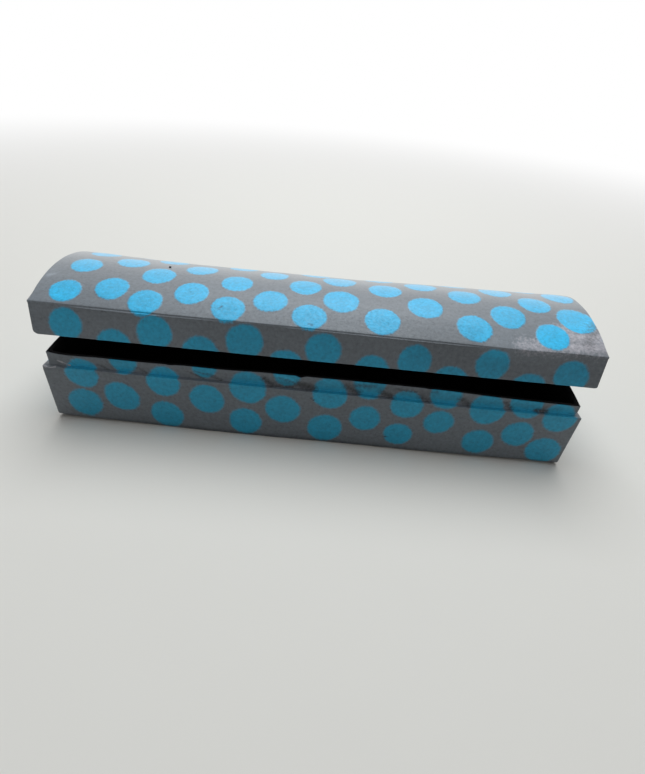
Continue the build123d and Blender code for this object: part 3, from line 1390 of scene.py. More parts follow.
@dataclass(frozen=True)
class MattPaper:
    """Unpainted paper or board: matt, with fibres or flecks of another tone. Lengths are in millimetres."""

    ground: str
    fleck: str
    fleck_size: float
    detail: float
    roughness: float
    tooth: float
    specular: float = 0.5
    fleck_start: float = 0.0
    fleck_full: float = 1.0
    tooth_depth: float = 0.1

    def material(self, name: str) -> Material:
        """Builds the finish.

        Args:
            name: The material's name.

        Returns:
            The material.
        """
        made, tree, where = begin_material(name)
        inputs = {"Vector": where, "Scale": 1 / (self.fleck_size * MM), "Detail": self.detail}
        flecks = add_node(tree, NOISE, inputs)
        share = add_node(
            tree, MAP_RANGE, {"Value": flecks, "From Min": self.fleck_start, "From Max": self.fleck_full}
        )
        tooth = {"Strength": self.tooth, "Distance": self.tooth_depth * MM, "Height": flecks}
        inputs = {
            "Base Color": coats(tree, linear(self.ground), (share, linear(self.fleck))),
            "Roughness": self.roughness,
            "Normal": add_node(tree, BUMP, tooth),
            "Specular IOR Level": self.specular,
        }
        add_node(tree, OUTPUT, {"Surface": add_node(tree, SURFACE, inputs)})
        return made


# Black paper, pasted in: dark, with a faint fibre that shows only in the light. Its black is darker than real
# black paper, a painted shade for the dark gap under the lid. The fibre is drawn coarse.
BLACK_PAPER_WITH_PAINTED_SHADE = MattPaper("#070708", "#0E0E0F", 0.6, detail=4.0, roughness=0.85, tooth=0.6, specular=0.12)

# Millboard made of waste paper: a dull brown grey with darker flecks, seen only where the case is cut.
MILLBOARD = MattPaper(
    "#8C867C", "#6A655D", 1.4, detail=5.0, roughness=0.9, tooth=0.5, fleck_start=0.45, fleck_full=0.65
)


@dataclass(frozen=True)
class PaleTable:
    """A plain pale table covering, which fades to the white of the background far from the case.

    The fade's ends are in metres, and its clouds in millimetres.
    """

    near: str = "#DDDAD4"
    fade_start: float = 0.2
    fade_end: float = 1.0
    cloudiness: float = 60.0
    cloud_height: float = 3.0
    cloud_strength: float = 0.25
    roughness: float = 0.85

    def material(self, name: str) -> Material:
        """Builds the finish.

        Args:
            name: The material's name.

        Returns:
            The material.
        """
        made, tree, where = begin_material(name)
        inputs = {"Vector": where, "Scale": 1 / (self.cloudiness * MM), "Detail": 2.0}
        soft = {"Strength": self.cloud_strength, "Distance": self.cloud_height * MM}
        bump = add_node(tree, BUMP, {**soft, "Height": add_node(tree, NOISE, inputs)})
        cloth = {"Base Color": linear(self.near), "Roughness": self.roughness, "Normal": bump}
        distance = (add_node(tree, VECTOR_MATH, [where], operation="LENGTH"), "Value")
        ramp = {"Value": distance, "From Min": self.fade_start, "From Max": self.fade_end}
        far = add_node(tree, MAP_RANGE, ramp, interpolation_type="SMOOTHSTEP")
        seen = rays_of(tree, "Is Camera Ray", "Is Glossy Ray")
        faded = add_node(tree, MATH, [far, seen], operation="MULTIPLY")
        white = add_node(tree, "ShaderNodeEmission", {"Color": (1.0, 1.0, 1.0, 1.0), "Strength": 1.0})
        shader = add_node(tree, "ShaderNodeMixShader", [faded, add_node(tree, SURFACE, cloth), white])
        add_node(tree, OUTPUT, {"Surface": shader})
        return made


class Finishes:
    """Every finish of the case, built once."""

    def __init__(self) -> None:
        """Builds the finishes."""
        painted = PaintedPaper()
        self.skin = painted.material("acrylic_on_pasted_paper_brushed")
        self.neck = painted.material("acrylic_on_pasted_paper_rubbed")
        self.strip = painted.material("acrylic_on_hinge_paper_brushed")
        self.lining = BLACK_PAPER_WITH_PAINTED_SHADE.material("black_paper_pasted_with_painted_shade")
        self.board = MILLBOARD.material("millboard_cut")


def warped_board(name: str, node: Object, to_true: Place, place: Place, step: float) -> Object:
    """Makes a board's hand-made copy, which bends as the skins over it do.

    Args:
        name: The new piece's name.
        node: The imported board.
        to_true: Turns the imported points, in millimetres, to the true ones with the lid shut.
        place: Bends and poses true points.
        step: The longest edge that the board keeps, so that it follows every bend.

    Returns:
        The new board.
    """
    same_point, flat = 0.001 * MM, math.radians(0.5)
    board = bmesh.new()
    board.from_mesh(node.data)
    bmesh.ops.remove_doubles(board, verts=board.verts, dist=same_point)
    bmesh.ops.dissolve_limit(board, angle_limit=flat, verts=board.verts, edges=board.edges)
    bmesh.ops.triangulate(board, faces=board.faces)
    while long := [edge for edge in board.edges if edge.calc_length() > step * MM]:
        bmesh.ops.subdivide_edges(board, edges=long, cuts=1)
        bmesh.ops.triangulate(board, faces=[face for face in board.faces if len(face.verts) > 3])
    points = np.array([vertex.co for vertex in board.verts]) / MM
    for vertex, point in zip(board.verts, place(to_true(points)) * MM):
        vertex.co = point
    mesh = bpy.data.meshes.new(name)
    board.to_mesh(mesh)
    board.free()
    return show(name, mesh)


def dress(piece: Object, body: str, node: str = "", material: Material | None = None) -> Object:
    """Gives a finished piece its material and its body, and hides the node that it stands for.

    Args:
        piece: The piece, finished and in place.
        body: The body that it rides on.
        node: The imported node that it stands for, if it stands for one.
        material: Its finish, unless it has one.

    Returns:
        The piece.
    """
    if material is not None:
        piece.data.materials.clear()
        piece.data.materials.append(material)
    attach(piece, body)
    if node:
        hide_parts(node)
    return piece


BACK_MIDDLE_DOTS = (
    (-97, 0, 6.9), (-64, -1, 6.7), (-30, 1, 7), (4, 0, 6.8), (37, -1, 7), (70, 0.5, 6.6), (102, 0, 6.9),
)
BACK_UPPER_DOTS = (
    (-81, 0, 6.5), (-48, 0.5, 6.7), (-15, -0.5, 6.4), (18, 0, 6.6), (51, 0.5, 6.5), (84, -0.5, 6.6),
)

BOX_ROWS = (
    DotRow(Face.BOX_FRONT, 25.5, (
        (-94.5, -1, 6.6), (-61, -1, 6.8), (-26, 0, 7.3), (7.5, 1, 7), (39, -0.5, 6.4), (72, 1, 6.9),
        (101.5, 0, 6.6),
    )),
    DotRow(Face.NECK_FRONT, 32.5, (
        (-77, 0.5, 5.5), (-44, 1.5, 5), (-10.5, 1, 5.5), (23, 0, 6.3), (54, -1, 6.3), (87, -0.5, 6.4),
    )),
    DotRow(Face.BOX_FRONT, 16.5, (
        (-79.5, -2, 7.2), (-43.5, 1.5, 7.2), (-11.5, 0, 7.2), (23, -1, 6.4), (53.5, 1, 6), (87.5, -1, 6.5),
    )),
    DotRow(Face.BOX_FRONT, 8.5, (
        (-96.5, 1, 7), (-61.5, -1, 6.9), (-27.5, -0.5, 6.9), (6.5, -0.5, 7.2), (38, 0.5, 5.9),
        (72.5, 0.5, 6.6), (101.2, -1, 7.1),
    )),
    DotRow(Face.BOX_BACK, 25.4, BACK_MIDDLE_DOTS),
    DotRow(Face.NECK_BACK, 34.4, BACK_UPPER_DOTS),
    DotRow(Face.BOX_BACK, 16.4, (
        (-80, 0, 7), (-46, 0.5, 6.8), (-13, -1, 7), (22, 0, 7.1), (54, 0.5, 6.8), (86, -0.5, 7),
    )),
    DotRow(Face.BOX_BACK, 8.4, (
        (-96, 0, 6.8), (-62, 0.5, 7), (-28, -1, 6.9), (4, 0.5, 7.1), (38, 0, 6.7), (71, -0.5, 7),
        (102, 0.5, 6.8),
    )),
    DotRow(Face.BOX_LEFT, 25.2, ((-24, 0, 6.9), (9, -0.5, 6.8))),
    DotRow(Face.BOX_LEFT, 16.6, ((-9, 0, 7), (25, 0.5, 6.8))),
    DotRow(Face.BOX_LEFT, 8.5, ((-25, 0.5, 6.9), (8, -0.5, 7))),
    DotRow(Face.BOX_RIGHT, 25.4, ((-8, 0, 6.8), (24, 0, 7))),
    DotRow(Face.BOX_RIGHT, 16.6, ((-25, 0, 6.9), (8, -0.5, 7))),
    DotRow(Face.BOX_RIGHT, 8.5, ((-9, 0, 7), (25, 0.5, 6.8))),
)

LID_ROWS = (
    DotRow(Face.LID_FRONT, 6.0, (
        (-97, -0.5, 6.3), (-62.5, -0.5, 6.8), (-28, -1, 7), (3, -1, 6.8), (38.5, -1.5, 6.3),
        (68, -0.5, 6.2), (99, -2, 6.4),
    )),
    DotRow(Face.LID_FRONT, -1.5, (
        (-79, -0.5, 6.9), (-45, 0, 7.3), (-11.5, -1.5, 6.6), (22.5, -0.5, 6.9), (53, -2, 7), (84, -2, 7),
    )),
    DotRow(Face.LID_TOP, -31.0, (
        (-98.5, -0.5, 5.7), (-67, -2, 6.4), (-35, -1.5, 6.4), (-3.5, -1.5, 6.4), (24.5, 0, 6.8),
        (60, 1, 6.5), (90.5, 0, 6.2),
    )),
    DotRow(Face.LID_TOP, -23.0, (
        (-81.5, -4.5, 6.2), (-51, -2.5, 6.5), (-19.5, -2.5, 6.4), (8, 2, 7.1), (42, 2.5, 6.8),
        (74.5, 1, 6.7), (102.5, 3, 7.6),
    )),
    DotRow(Face.LID_TOP, -12.0, (
        (-97.5, -1.5, 5.9), (-67, -3, 6.4), (-35, -3, 6.3), (-7, 0, 6.5), (26, 3.5, 6.6),
        (59.5, 3.5, 6.6), (88, 1, 6.5),
    )),
    DotRow(Face.LID_TOP, -1.0, (
        (-82, -3, 6.2), (-52, -2.5, 6.2), (-21.5, 0, 6), (7, 0.5, 7.1), (42.5, 2, 6.7), (75, 2.5, 6.8),
        (102.5, 2.5, 6.5),
    )),
    DotRow(Face.LID_TOP, 10.0, (
        (-98, -4, 6), (-68, -2.5, 6.2), (-36.5, -1, 6.2), (-4, 0.5, 6.6), (25, 1.5, 6.4), (58, 2, 6.5),
        (90, 3, 6.4),
    )),
    DotRow(Face.LID_TOP, 20.5, (
        (-84, -1, 6.8), (-51, -0.5, 6.7), (-20, 0.5, 7), (11, 1, 6.7), (42, 1.5, 6.9), (74, 2, 6.8),
        (104, 2, 6.9),
    )),
    DotRow(Face.LID_TOP, 31.5, (
        (-98, -1, 6.7), (-66, 0, 6.9), (-35, 0.5, 6.7), (-3, 0, 6.8), (27, 1, 6.7), (59, 0.5, 7),
        (91, 1, 6.8),
    )),
    DotRow(Face.LID_BACK, 7.0, BACK_UPPER_DOTS),
    DotRow(Face.LID_BACK, -2.0, BACK_MIDDLE_DOTS),
    DotRow(Face.LID_LEFT, 6.2, ((-20, 0, 7), (12, 0.5, 6.8))),
    DotRow(Face.LID_LEFT, 17.0, ((-5, 0, 6.8), (25, -3, 6.4))),
    DotRow(Face.LID_RIGHT, 6.2, ((-10, 0.5, 6.9), (23, 0, 7))),
    DotRow(Face.LID_RIGHT, 17.0, ((7, 0, 6.8), (-25, -5.5, 6))),
)

BOX_STROKES = (
    # Painted light along the ledge, which lifts the shade under the lid, and lighter paint on a cracked dot.
    Strokes(Paint.RUBBED, Face.NECK_FRONT, (
        (-100, 27.1, 104, 27.1, 2.3, 0.3), (-14, 32.4, -6.5, 30.6, 1.4, 0.45),
    )),
    # Painted shade on the neck, most along its foot in the recess under the lid.
    Strokes(Paint.GRIME, Face.NECK_FRONT, (
        (-30, 29.2, 100, 29.2, 4.5, 0.18), (-19, 28.6, -2, 28.4, 3.4, 0.34), (13, 30.8, 50, 31.0, 3.6, 0.3),
    )),
    # A painted contact shadow along the box's foot.
    Strokes(Paint.GRIME, Face.BOX_FRONT, ((-108, 0.2, 108, 0.2, 2.4, 0.5),)),
    Strokes(Paint.SMEAR, Face.NECK_FRONT, (
        (-88, 29.3, -83.5, 27.0, 1.0, 0.45),
        (-71.5, 29.8, -68, 27.4, 1.2, 0.5),
        (-51, 30.4, -44.5, 27.2, 0.8, 0.6),
        (-48, 31.2, -37.5, 27.2, 0.8, 0.6),
        (-43, 30.4, -37, 27.6, 0.8, 0.5),
        (-20.0, 30.5, -16.5, 27.3, 2.2, 0.75),
        (-15, 27.3, -8, 27.3, 1.2, 0.6),
        (-13.5, 31.6, -7, 29.8, 1.8, 0.4),
        (-6.0, 29.6, 0.5, 27.8, 3.2, 0.72),
        (14, 30.2, 19, 27.6, 2.6, 0.74),
        (17, 31.2, 25, 31.8, 1.8, 0.46),
        (28.5, 29.0, 32.5, 27.5, 2.6, 0.74),
        (33.5, 31.6, 42, 31.0, 1.1, 0.52),
        (44, 29, 47.5, 27.4, 2.2, 0.66),
        (48.5, 31.8, 50.5, 32.4, 0.9, 0.55),
        (60.5, 30, 64, 27.6, 2.6, 0.6),
        (78.8, 30.8, 81.5, 27.4, 1.8, 0.62),
        (91.5, 27.6, 96, 27.6, 2.2, 0.8),
    )),
    Strokes(Paint.SMEAR, Face.BOX_FRONT, (
        (-0.5, 24.0, 1.2, 23.1, 0.6, 0.75), (33.0, 6.9, 33.3, 6.8, 0.7, 0.85),
    )),
    # A painted highlight on the crumpled ledge corner, partly scuffed paint.
    Strokes(Paint.WEAR, Face.BOX_FRONT, ((-109.5, 27.1, -105, 27.0, 1.2, 0.72),)),
    Strokes(Paint.WEAR, Face.NECK_FRONT, ((-104, 29.2, -99.2, 26.8, 1.3, 0.68),)),
)

LID_STROKES = (
    Strokes(Paint.SILVER, Face.LID_TOP, (
        (79, -36, 108, -34.5, 8.5, 0.44),
        (92, -29, 108, -22, 9.0, 0.54),
        (98, -30, 109.5, -29.5, 8.0, 0.62),
        (97, -35.5, 109.5, -34, 5.5, 0.68),
    )),
    # Lighter paint near the fold at the right end, and scuffs at the arch's left end.
    Strokes(Paint.RUBBED, Face.LID_TOP, (
        (68, -36, 92, -34.5, 10.0, 0.34),
        (84, -36, 108, -24, 14.0, 0.16),
        (-108.5, -32, -108, -22, 6.0, 0.16),
        (-108.6, -23.8, -107, -23.2, 1.7, 0.75),
        (-108, -37, -98, -34, 7.0, 0.18),
    )),
    # Painted shade: the lid's front, turned from the light, is made darker, most towards the right.
    Strokes(Paint.GRIME, Face.LID_FRONT, ((-40, 6, 40, 6, 16.0, 0.14), (40, 6, 108, 6, 16.0, 0.26))),
    Strokes(Paint.SMEAR, Face.LID_TOP, (
        (104, -33, 109.5, -22, 4.5, 0.4),
        (-37.6, -31.5, -38.8, -33.5, 0.8, 0.62),
        (-3.6, -36.2, -2.1, -36.8, 0.9, 0.54),
    )),
)


@dataclass
class CaseHalf:
    """What the box and the lid have in common: painted skins, a lining and boards, bent alike."""

    sizes: CaseSizes
    finishes: Finishes
    dauber: Dauber
    nodes: dict[str, Object]
    skin_step: float = 0.7
    lining_step: float = 1.6
    board_step: float = 9.0
    lining_corner: float = 0.6
    body: ClassVar[str]
    kind: ClassVar[type[HandShape]]
    rows: ClassVar[tuple[DotRow, ...]]
    strokes: ClassVar[tuple[Strokes, ...]]
    seed: ClassVar[int]

    def __post_init__(self) -> None:
        """Makes the half's hand-made shape and its dots."""
        self.shape = self.kind(self.sizes)
        self.layer = DotLayer(self.rows, self.sizes, self.shape.place, self.seed)
        self.dots = dot_points(f"{self.body}_dots", self.layer)

    def painted(
        self, name: str, shell: Shell, node: str, material: Material, slot: str = "painted_paper"
    ) -> Object:
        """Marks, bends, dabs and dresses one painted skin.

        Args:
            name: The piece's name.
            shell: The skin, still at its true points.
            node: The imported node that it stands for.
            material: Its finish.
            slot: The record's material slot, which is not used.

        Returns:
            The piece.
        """
        for strokes in self.strokes:
            strokes.add_to(shell, self.sizes)
        piece = shell.to_object(name, self.shape.place)
        self.dauber.dab(piece, self.dots, material, SkinRelief())
        return dress(piece, self.body, node)

    def lined(self, walls: Shell, flat: Shell) -> Object:
        """Bends and dresses the half's black lining.

        Args:
            walls: The sheet round the walls.
            flat: The sheet on the floor or under the arch.

        Returns:
            The piece.
        """
        name = f"{self.body}_lining"
        piece = walls.joined(flat).to_object(name, self.shape.place)
        return dress(piece, self.body, f"{name}_paper", self.finishes.lining)

    def board(self, name: str, to_true: Place, step: float) -> Object:
        """Cuts, bends and dresses one board.

        Args:
            name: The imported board's name.
            to_true: Turns its packed points to the true ones with the lid shut.
            step: The longest edge that it keeps.

        Returns:
            The piece.
        """
        piece = warped_board(f"{name}_cut", self.nodes[name], to_true, self.shape.place, step)
        return dress(piece, self.body, name, self.finishes.board)


@dataclass
class BoxBody(CaseHalf):
    """The box: its wall and neck boards, and the papers over, under and inside them."""

    corner: float = 0.5
    ledge_edge: float = 0.4
    edge_points: int = 6
    shelf_points: int = 5
    foot_insets: tuple[float, ...] = (7.0, 5.4, 4.0, 3.2, 2.6, 2.1, 1.7, 1.3, 0.9, 0.6, 0.3, 0.0)
    lift: float = 0.2
    row_step: float = 0.62
    row_fine: float = 0.3
    hidden_step: float = 3.5
    neck_corner: float = 2.3
    neck_foot: tuple[Pair, ...] = ((0.4, 0.04), (0.22, 0.1), (0.08, 0.25))
    neck_foot_height: float = 0.5
    neck_row_step: float = 0.45
    neck_hidden_step: float = 2.0
    rim_edge: float = 0.22
    rim_points: int = 5
    sheet_inset: float = 3.0
    sheet_fine: float = 0.5
    sheet_share: float = 0.75
    hidden_stride: int = 4
    cap: tuple[Pair, ...] = ((0.0, 0.22), (0.02, 0.05), (0.12, 0.0))
    cap_drop: float = 0.03
    lining_edge: float = 0.3
    lining_lift: float = 0.1
    lining_rows: int = 22
    lining_hidden_rows: int = 8
    floor_grid: tuple[int, int] = (110, 34)
    floor_stride: int = 3
    board_drop: float = 1.3
    body = "box"
    kind = BoxShape
    rows = BOX_ROWS
    strokes = BOX_STROKES
    seed = 3

    def build(self) -> list[Object]:
        """Builds and dresses every piece of the box."""
        return [self.outer_paper(), self.base_sheet(), self.neck_covering(), self.lining(), *self.boards()]

    def outer_paper(self) -> Object:
        """Makes the painted paper round the walls, turned in under the floor and over the ledge.

        Returns:
            The piece.
        """
        s = self.sizes
        under, top, flap = self.lift * s.paper, s.ledge, self.foot_insets[0]
        neck = s.half_width - s.neck_half_width
        feet = [(inset, under) for inset in self.foot_insets]
        levels = graded(top - self.ledge_edge - under, self.row_step, self.row_fine)[1:] + under
        wall = [(0.0, level) for level in levels]
        edge_centre = (self.ledge_edge, top - self.ledge_edge)
        edge = arc(edge_centre, self.ledge_edge, math.pi, math.pi / 2, self.edge_points)[1:]
        insets = np.linspace(self.ledge_edge, neck + s.paper, self.shelf_points)[1:]
        shelf = [(inset, top) for inset in insets]
        hidden = [(s.paper, level) for level in np.arange(top - s.paper, under + s.paper, -self.hidden_step)]
        tail = [(s.paper, under + s.paper), (flap, under + s.paper)]
        section = np.array([*feet, *wall, *edge, *shelf, (neck + s.paper, top - s.paper), *hidden, *tail])
        shown = len(feet) + len(wall) + len(edge) + len(shelf)
        outline = Outline(s.half_length, s.half_width, self.corner, self.skin_step, self.row_step)
        shell = Shell.swept(outline.carry(section), True, shown)
        return self.painted("box_outer_paper", shell, "box_side_paper", self.finishes.skin)

    def neck_covering(self) -> Object:
        """Makes the painted paper round the neck, with a soft foot where it meets the ledge.

        Returns:
            The piece.
        """
        s = self.sizes
        inset = s.half_width - s.neck_half_width
        foot = [(inset - out, s.ledge + up) for out, up in self.neck_foot]
        wall_height = s.neck_top - self.rim_edge - s.ledge - self.neck_foot_height
        levels = graded(wall_height, self.neck_row_step, self.row_fine) + s.ledge + self.neck_foot_height
        wall = [(inset, level) for level in levels]
        rim_centre = (inset + self.rim_edge, s.neck_top - self.rim_edge)
        rim = arc(rim_centre, self.rim_edge, math.pi, math.pi / 2, self.rim_points)[1:]
        back, lowest = inset + s.paper, s.ledge + self.neck_foot[0][1]
        hidden_levels = np.arange(s.neck_top - TINY / 2, s.ledge, -self.neck_hidden_step)
        hidden = [(back, level) for level in hidden_levels]
        section = np.array([*foot, *wall, *rim, *hidden, (back, lowest)])
        outline = Outline(s.half_length, s.half_width, self.neck_corner, self.skin_step, self.row_step)
        shell = Shell.swept(outline.carry(section), True, len(foot) + len(wall) + len(rim))
        return self.painted("neck_covering", shell, "neck_paper", self.finishes.neck, "painted_neck_paper")

    def base_sheet(self) -> Object:
        """Makes the painted sheet under the floor, laid over the turned-in flap.

        Returns:
            The piece.
        """
        s = self.sizes
        stations, across = (
            graded(2 * half, self.lining_step, self.sheet_fine) - half
            for half in (s.half_length - self.sheet_inset, s.half_width - self.sheet_inset)
        )
        top = [(y, self.sheet_share * s.paper) for y in across[::self.hidden_stride]]
        section = np.array([*((y, 0.0) for y in across), *top[::-1]])
        shell = Shell.swept(bar_section(stations, section), False, shown=0)
        return self.painted("base_sheet", shell, "base_paper", self.finishes.skin)

    def lining(self) -> Object:
        """Makes the black paper: on the floor, and round the walls and over the neck's edge.

        Returns:
            The piece.
        """
        s = self.sizes
        outside, inside = s.half_width - s.neck_half_width + s.paper, s.half_width - s.inner_half_width
        top, low = s.neck_top - self.cap_drop, s.floor_top
        cap = [(outside + back, top - down) for back, down in self.cap]
        edge_centre = (inside - self.lining_edge, top - self.lining_edge)
        edge = arc(edge_centre, self.lining_edge, math.pi / 2, 0.0, self.rim_points)
        foot = low + self.lining_lift
        wall = [(inside, level) for level in np.linspace(top - self.lining_edge, foot, self.lining_rows)[1:]]
        back_levels = np.linspace(foot, top - s.paper, self.lining_hidden_rows)
        section = np.array([*cap, *edge, *wall, *((inside - s.paper, level) for level in back_levels)])
        corner = inside + self.lining_corner
        outline = Outline(s.half_length, s.half_width, corner, self.lining_step, self.sheet_fine)
        reach = (s.half_length - inside + s.paper, s.inner_half_width + s.paper)
        stations, across = (np.linspace(-half, half, count) for half, count in zip(reach, self.floor_grid))
        hidden = ((y, low) for y in across[::-self.floor_stride])
        floor = np.array([*((y, low + s.paper) for y in across), *hidden])
        return self.lined(
            Shell.swept(outline.carry(section), True), Shell.swept(bar_section(stations, floor), False)
        )

    def _under_paper(self, name: str) -> Place:
        """Keeps a board's top under the lowest dent of the paper over it."""
        top = self.sizes.neck_top if name.startswith("neck") else self.sizes.ledge
        return lambda points: np.minimum(points, [np.inf, np.inf, top - self.board_drop])

    def boards(self) -> list[Object]:
        """Makes the wall and neck boards. The floor board is flat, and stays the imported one.

        Returns:
            The new boards.
        """
        floor = self.nodes["floor_board"].data
        floor.materials.clear()
        floor.materials.append(self.finishes.board)
        upright = sorted(
            name for name in self.nodes if name.endswith("board") and not name.startswith(("lid", "floor"))
        )
        return [self.board(name, self._under_paper(name), self.board_step) for name in upright]


@dataclass
class LidBody(CaseHalf):
    """The lid: its boards, the papers round its skirt and over its arch, and its lining."""

    skirt_edge: float = 0.35
    skirt_rows: int = 30
    row_fine: float = 0.3
    hidden_rows: int = 8
    edge_points: int = 6
    turn_in: float = 1.0
    seam_drop: float = 0.05
    seam_reach: float = 0.3
    corner_fine: float = 0.2
    fold_radius: float = 0.45
    lap_start: float = 0.18
    lap_drop: HandLine = HandLine(
        ((-110, 0.5), (-98, 0.75), (-60, 0.75), (-30, 0.6), (70, 0.6), (110, 0.45)), 4.0
    )
    lap_stand: HandLine = HandLine(
        (
            (-110, 0.02), (-98, 0.05), (-90, 0.55), (-72, 0.65), (-58, 0.5), (-40, 0.42), (-33, 0.2),
            (-14, 0.2), (-9, 0.42), (20, 0.5), (48, 0.5), (60, 0.4), (66, 0.1), (110, 0.02),
        ),
        2.0,
    )
    lap_stay: float = 0.25
    lap_rows: int = 10
    lap_thickness: float = 0.85
    back_drop: float = 1.2
    back_turn: float = 0.2
    sweep_points: int = 122
    under_step: float = 2.0
    station_fine: float = 0.15
    lining_start: float = 0.3
    lining_fine: float = 0.4
    lining_overlap: float = 0.1
    lining_rows: int = 14
    lining_hidden_rows: int = 6
    arch_grid: tuple[int, int] = (120, 52)
    arch_stride: int = 3
    end_board_step: float = 2.5
    speck_at: Pair = (-65.9, -4.8)
    speck_reach: Triple = (0.5, 0.5, 0.45)
    speck_lumps: Ripple = Ripple(1.1, seed=31)
    speck_roughness: float = 0.18
    body = "lid"
    kind = LidShape
    rows = LID_ROWS
    strokes = LID_STROKES
    seed = 4

    def build(self) -> list[Object]:
        """Builds and dresses every piece of the lid."""
        return [self.side_paper(), self.top_paper(), self.lining(), *self.boards(), self.speck()]

    def side_paper(self) -> Object:
        """Makes the painted paper round the skirt and up the arched ends, turned in under the edge.

        Returns:
            The piece.
        """
        s = self.sizes
        wall = s.half_width - s.lid_inner_half_width
        edge_centre = (self.skirt_edge, self.skirt_edge)
        edge = arc(edge_centre, self.skirt_edge, -math.pi / 2, -math.pi, self.edge_points)
        below = [(wall, 0.0), (self.turn_in, 0.0), *edge]
        rows = graded(1.0, 1.0 / self.skirt_rows, self.row_fine / self.skirt_rows)[1:]
        hidden = np.linspace(1.0, 0.0, self.hidden_rows)
        up, down = [(0.0, 0.0)] * len(rows), [(s.paper, 0.0)] * len(hidden)
        flat = np.array([*below, *up, *down, (wall, s.paper)])
        share = np.array([0.0] * len(below) + [*rows, *hidden, 0.0])
        outline = Outline(s.lid_half_length, s.half_width, TINY, self.skin_step, self.corner_fine, 1)
        rings = outline.carry(flat)
        top = np.maximum(s.arch_height(rings[..., 1], s.paper + self.seam_drop), s.fold - self.seam_reach)
        start = np.where(flat[:, 0] == 0.0, self.skirt_edge, flat[:, 1])
        start = np.where(flat[:, 0] == s.paper, s.paper, start)
        rings[..., 2] = s.lid_bottom + start + share * (top - s.lid_bottom - start)
        shell = Shell.swept(rings, True, len(below) + len(rows))
        return self.painted("lid_side_covering", shell, "lid_side_paper", self.finishes.skin)

    def top_section(self, x: float) -> tuple[Array, int]:
        """Draws the arch paper's section at one station.

        Args:
            x: The station.

        Returns:
            Rows of Y and Z, and how many of the first lie on the painted side.
        """
        s = self.sizes
        drop, stand = (float(line.at(np.array([x]))[0]) for line in (self.lap_drop, self.lap_stand))
        front = -s.half_width - self.lap_start
        fillet_y = front + self.fold_radius
        fillet_z = s.arch_level + math.sqrt((s.arch_radius - self.fold_radius) ** 2 - fillet_y ** 2)
        slope = math.atan2(fillet_z - s.arch_level, fillet_y)
        down = np.linspace(1.0, 0.0, self.lap_rows + 1)[:-1]
        flare = smooth_step((down - self.lap_stay) / (1 - self.lap_stay))
        lap = np.stack([front - max(stand - self.lap_start, 0.0) * flare, fillet_z - drop * down], axis=1)
        fillet = arc((fillet_y, fillet_z), self.fold_radius, math.pi, slope, self.edge_points)
        centre = (0.0, s.arch_level)
        top = arc(centre, s.arch_radius, slope, math.pi - slope, self.sweep_points)[1:-1]
        back = ((-front, fillet_z - self.back_drop),)
        painted = np.concatenate([lap, fillet, top, fillet[::-1] * np.array([-1.0, 1.0]), back])
        inner_radius = s.arch_radius - s.paper
        inner = np.arange(math.pi - slope, slope, self.under_step / inner_radius)
        under = np.stack([inner_radius * np.cos(inner), s.arch_level + inner_radius * np.sin(inner)], axis=1)
        inside = -front - s.paper
        back_in = ((inside, fillet_z - self.back_drop), (inside, fillet_z - self.back_turn))
        front_in = lap[::-1] + np.array([self.lap_thickness * s.paper, 0.0])
        return np.concatenate([painted, back_in, under[:-1], front_in]), len(painted)

    def top_paper(self) -> Object:
        """Makes the painted paper over the arch, lapped a little way down the skirt at front and back.

        Returns:
            The piece.
        """
        s = self.sizes
        stations = graded(2 * s.lid_half_length, self.skin_step, self.station_fine) - s.lid_half_length
        sections = [self.top_section(float(x)) for x in stations]
        rings = bar_section(stations, np.array([section for section, _ in sections]))
        shell = Shell.swept(rings, False, sections[0][1])
        return self.painted("lid_top_covering", shell, "lid_top_paper", self.finishes.skin)

    def lining(self) -> Object:
        """Makes the black paper: one piece round the walls, and one under the arch.

        Returns:
            The piece.
        """
        s = self.sizes
        wall, start = s.half_width - s.lid_inner_half_width, self.lining_start
        rows = np.linspace(0.0, 1.0, self.lining_rows)
        hidden = np.linspace(1.0, 0.0, self.lining_hidden_rows)
        flat = np.array([*((wall, start) for _ in rows), *((wall - s.paper, start) for _ in hidden)])
        corner = wall + self.lining_corner
        outline = Outline(s.lid_half_length, s.half_width, corner, self.lining_step, self.lining_fine)
        rings = outline.carry(flat)
        top = s.arch_height(rings[..., 1], wall - self.lining_overlap) - s.lid_bottom
        rings[..., 2] = s.lid_bottom + start + np.concatenate([rows, hidden]) * (top - start)
        ceiling, count = s.arch_radius - wall, self.arch_grid[1]
        reach = math.asin((s.lid_inner_half_width + 0.5 * s.paper) / ceiling)
        turns = (math.pi / 2 + reach, math.pi / 2 - reach, count)
        low = arc((0.0, s.arch_level), ceiling, *turns)
        high = arc((0.0, s.arch_level), ceiling + s.paper, *turns)[::-self.arch_stride]
        half_length = s.lid_half_length - wall + 0.5 * s.paper
        stations = np.linspace(-half_length, half_length, self.arch_grid[0])
        arch = Shell.swept(bar_section(stations, np.concatenate([low, high])), False)
        return self.lined(Shell.swept(rings, True), arch)

    def boards(self) -> list[Object]:
        """Makes the five boards of the lid, the arched ends with the finest steps.

        Returns:
            The new boards.
        """
        s = self.sizes
        shut = partial(swing, hinge_y=s.hinge_y, hinge_z=s.hinge_z, angle=-s.ajar)
        steps = {"lid_left_board": self.end_board_step, "lid_right_board": self.end_board_step}
        names = sorted(name for name in self.nodes if name.startswith("lid") and name.endswith("board"))
        return [self.board(name, shut, steps.get(name, self.board_step)) for name in names]

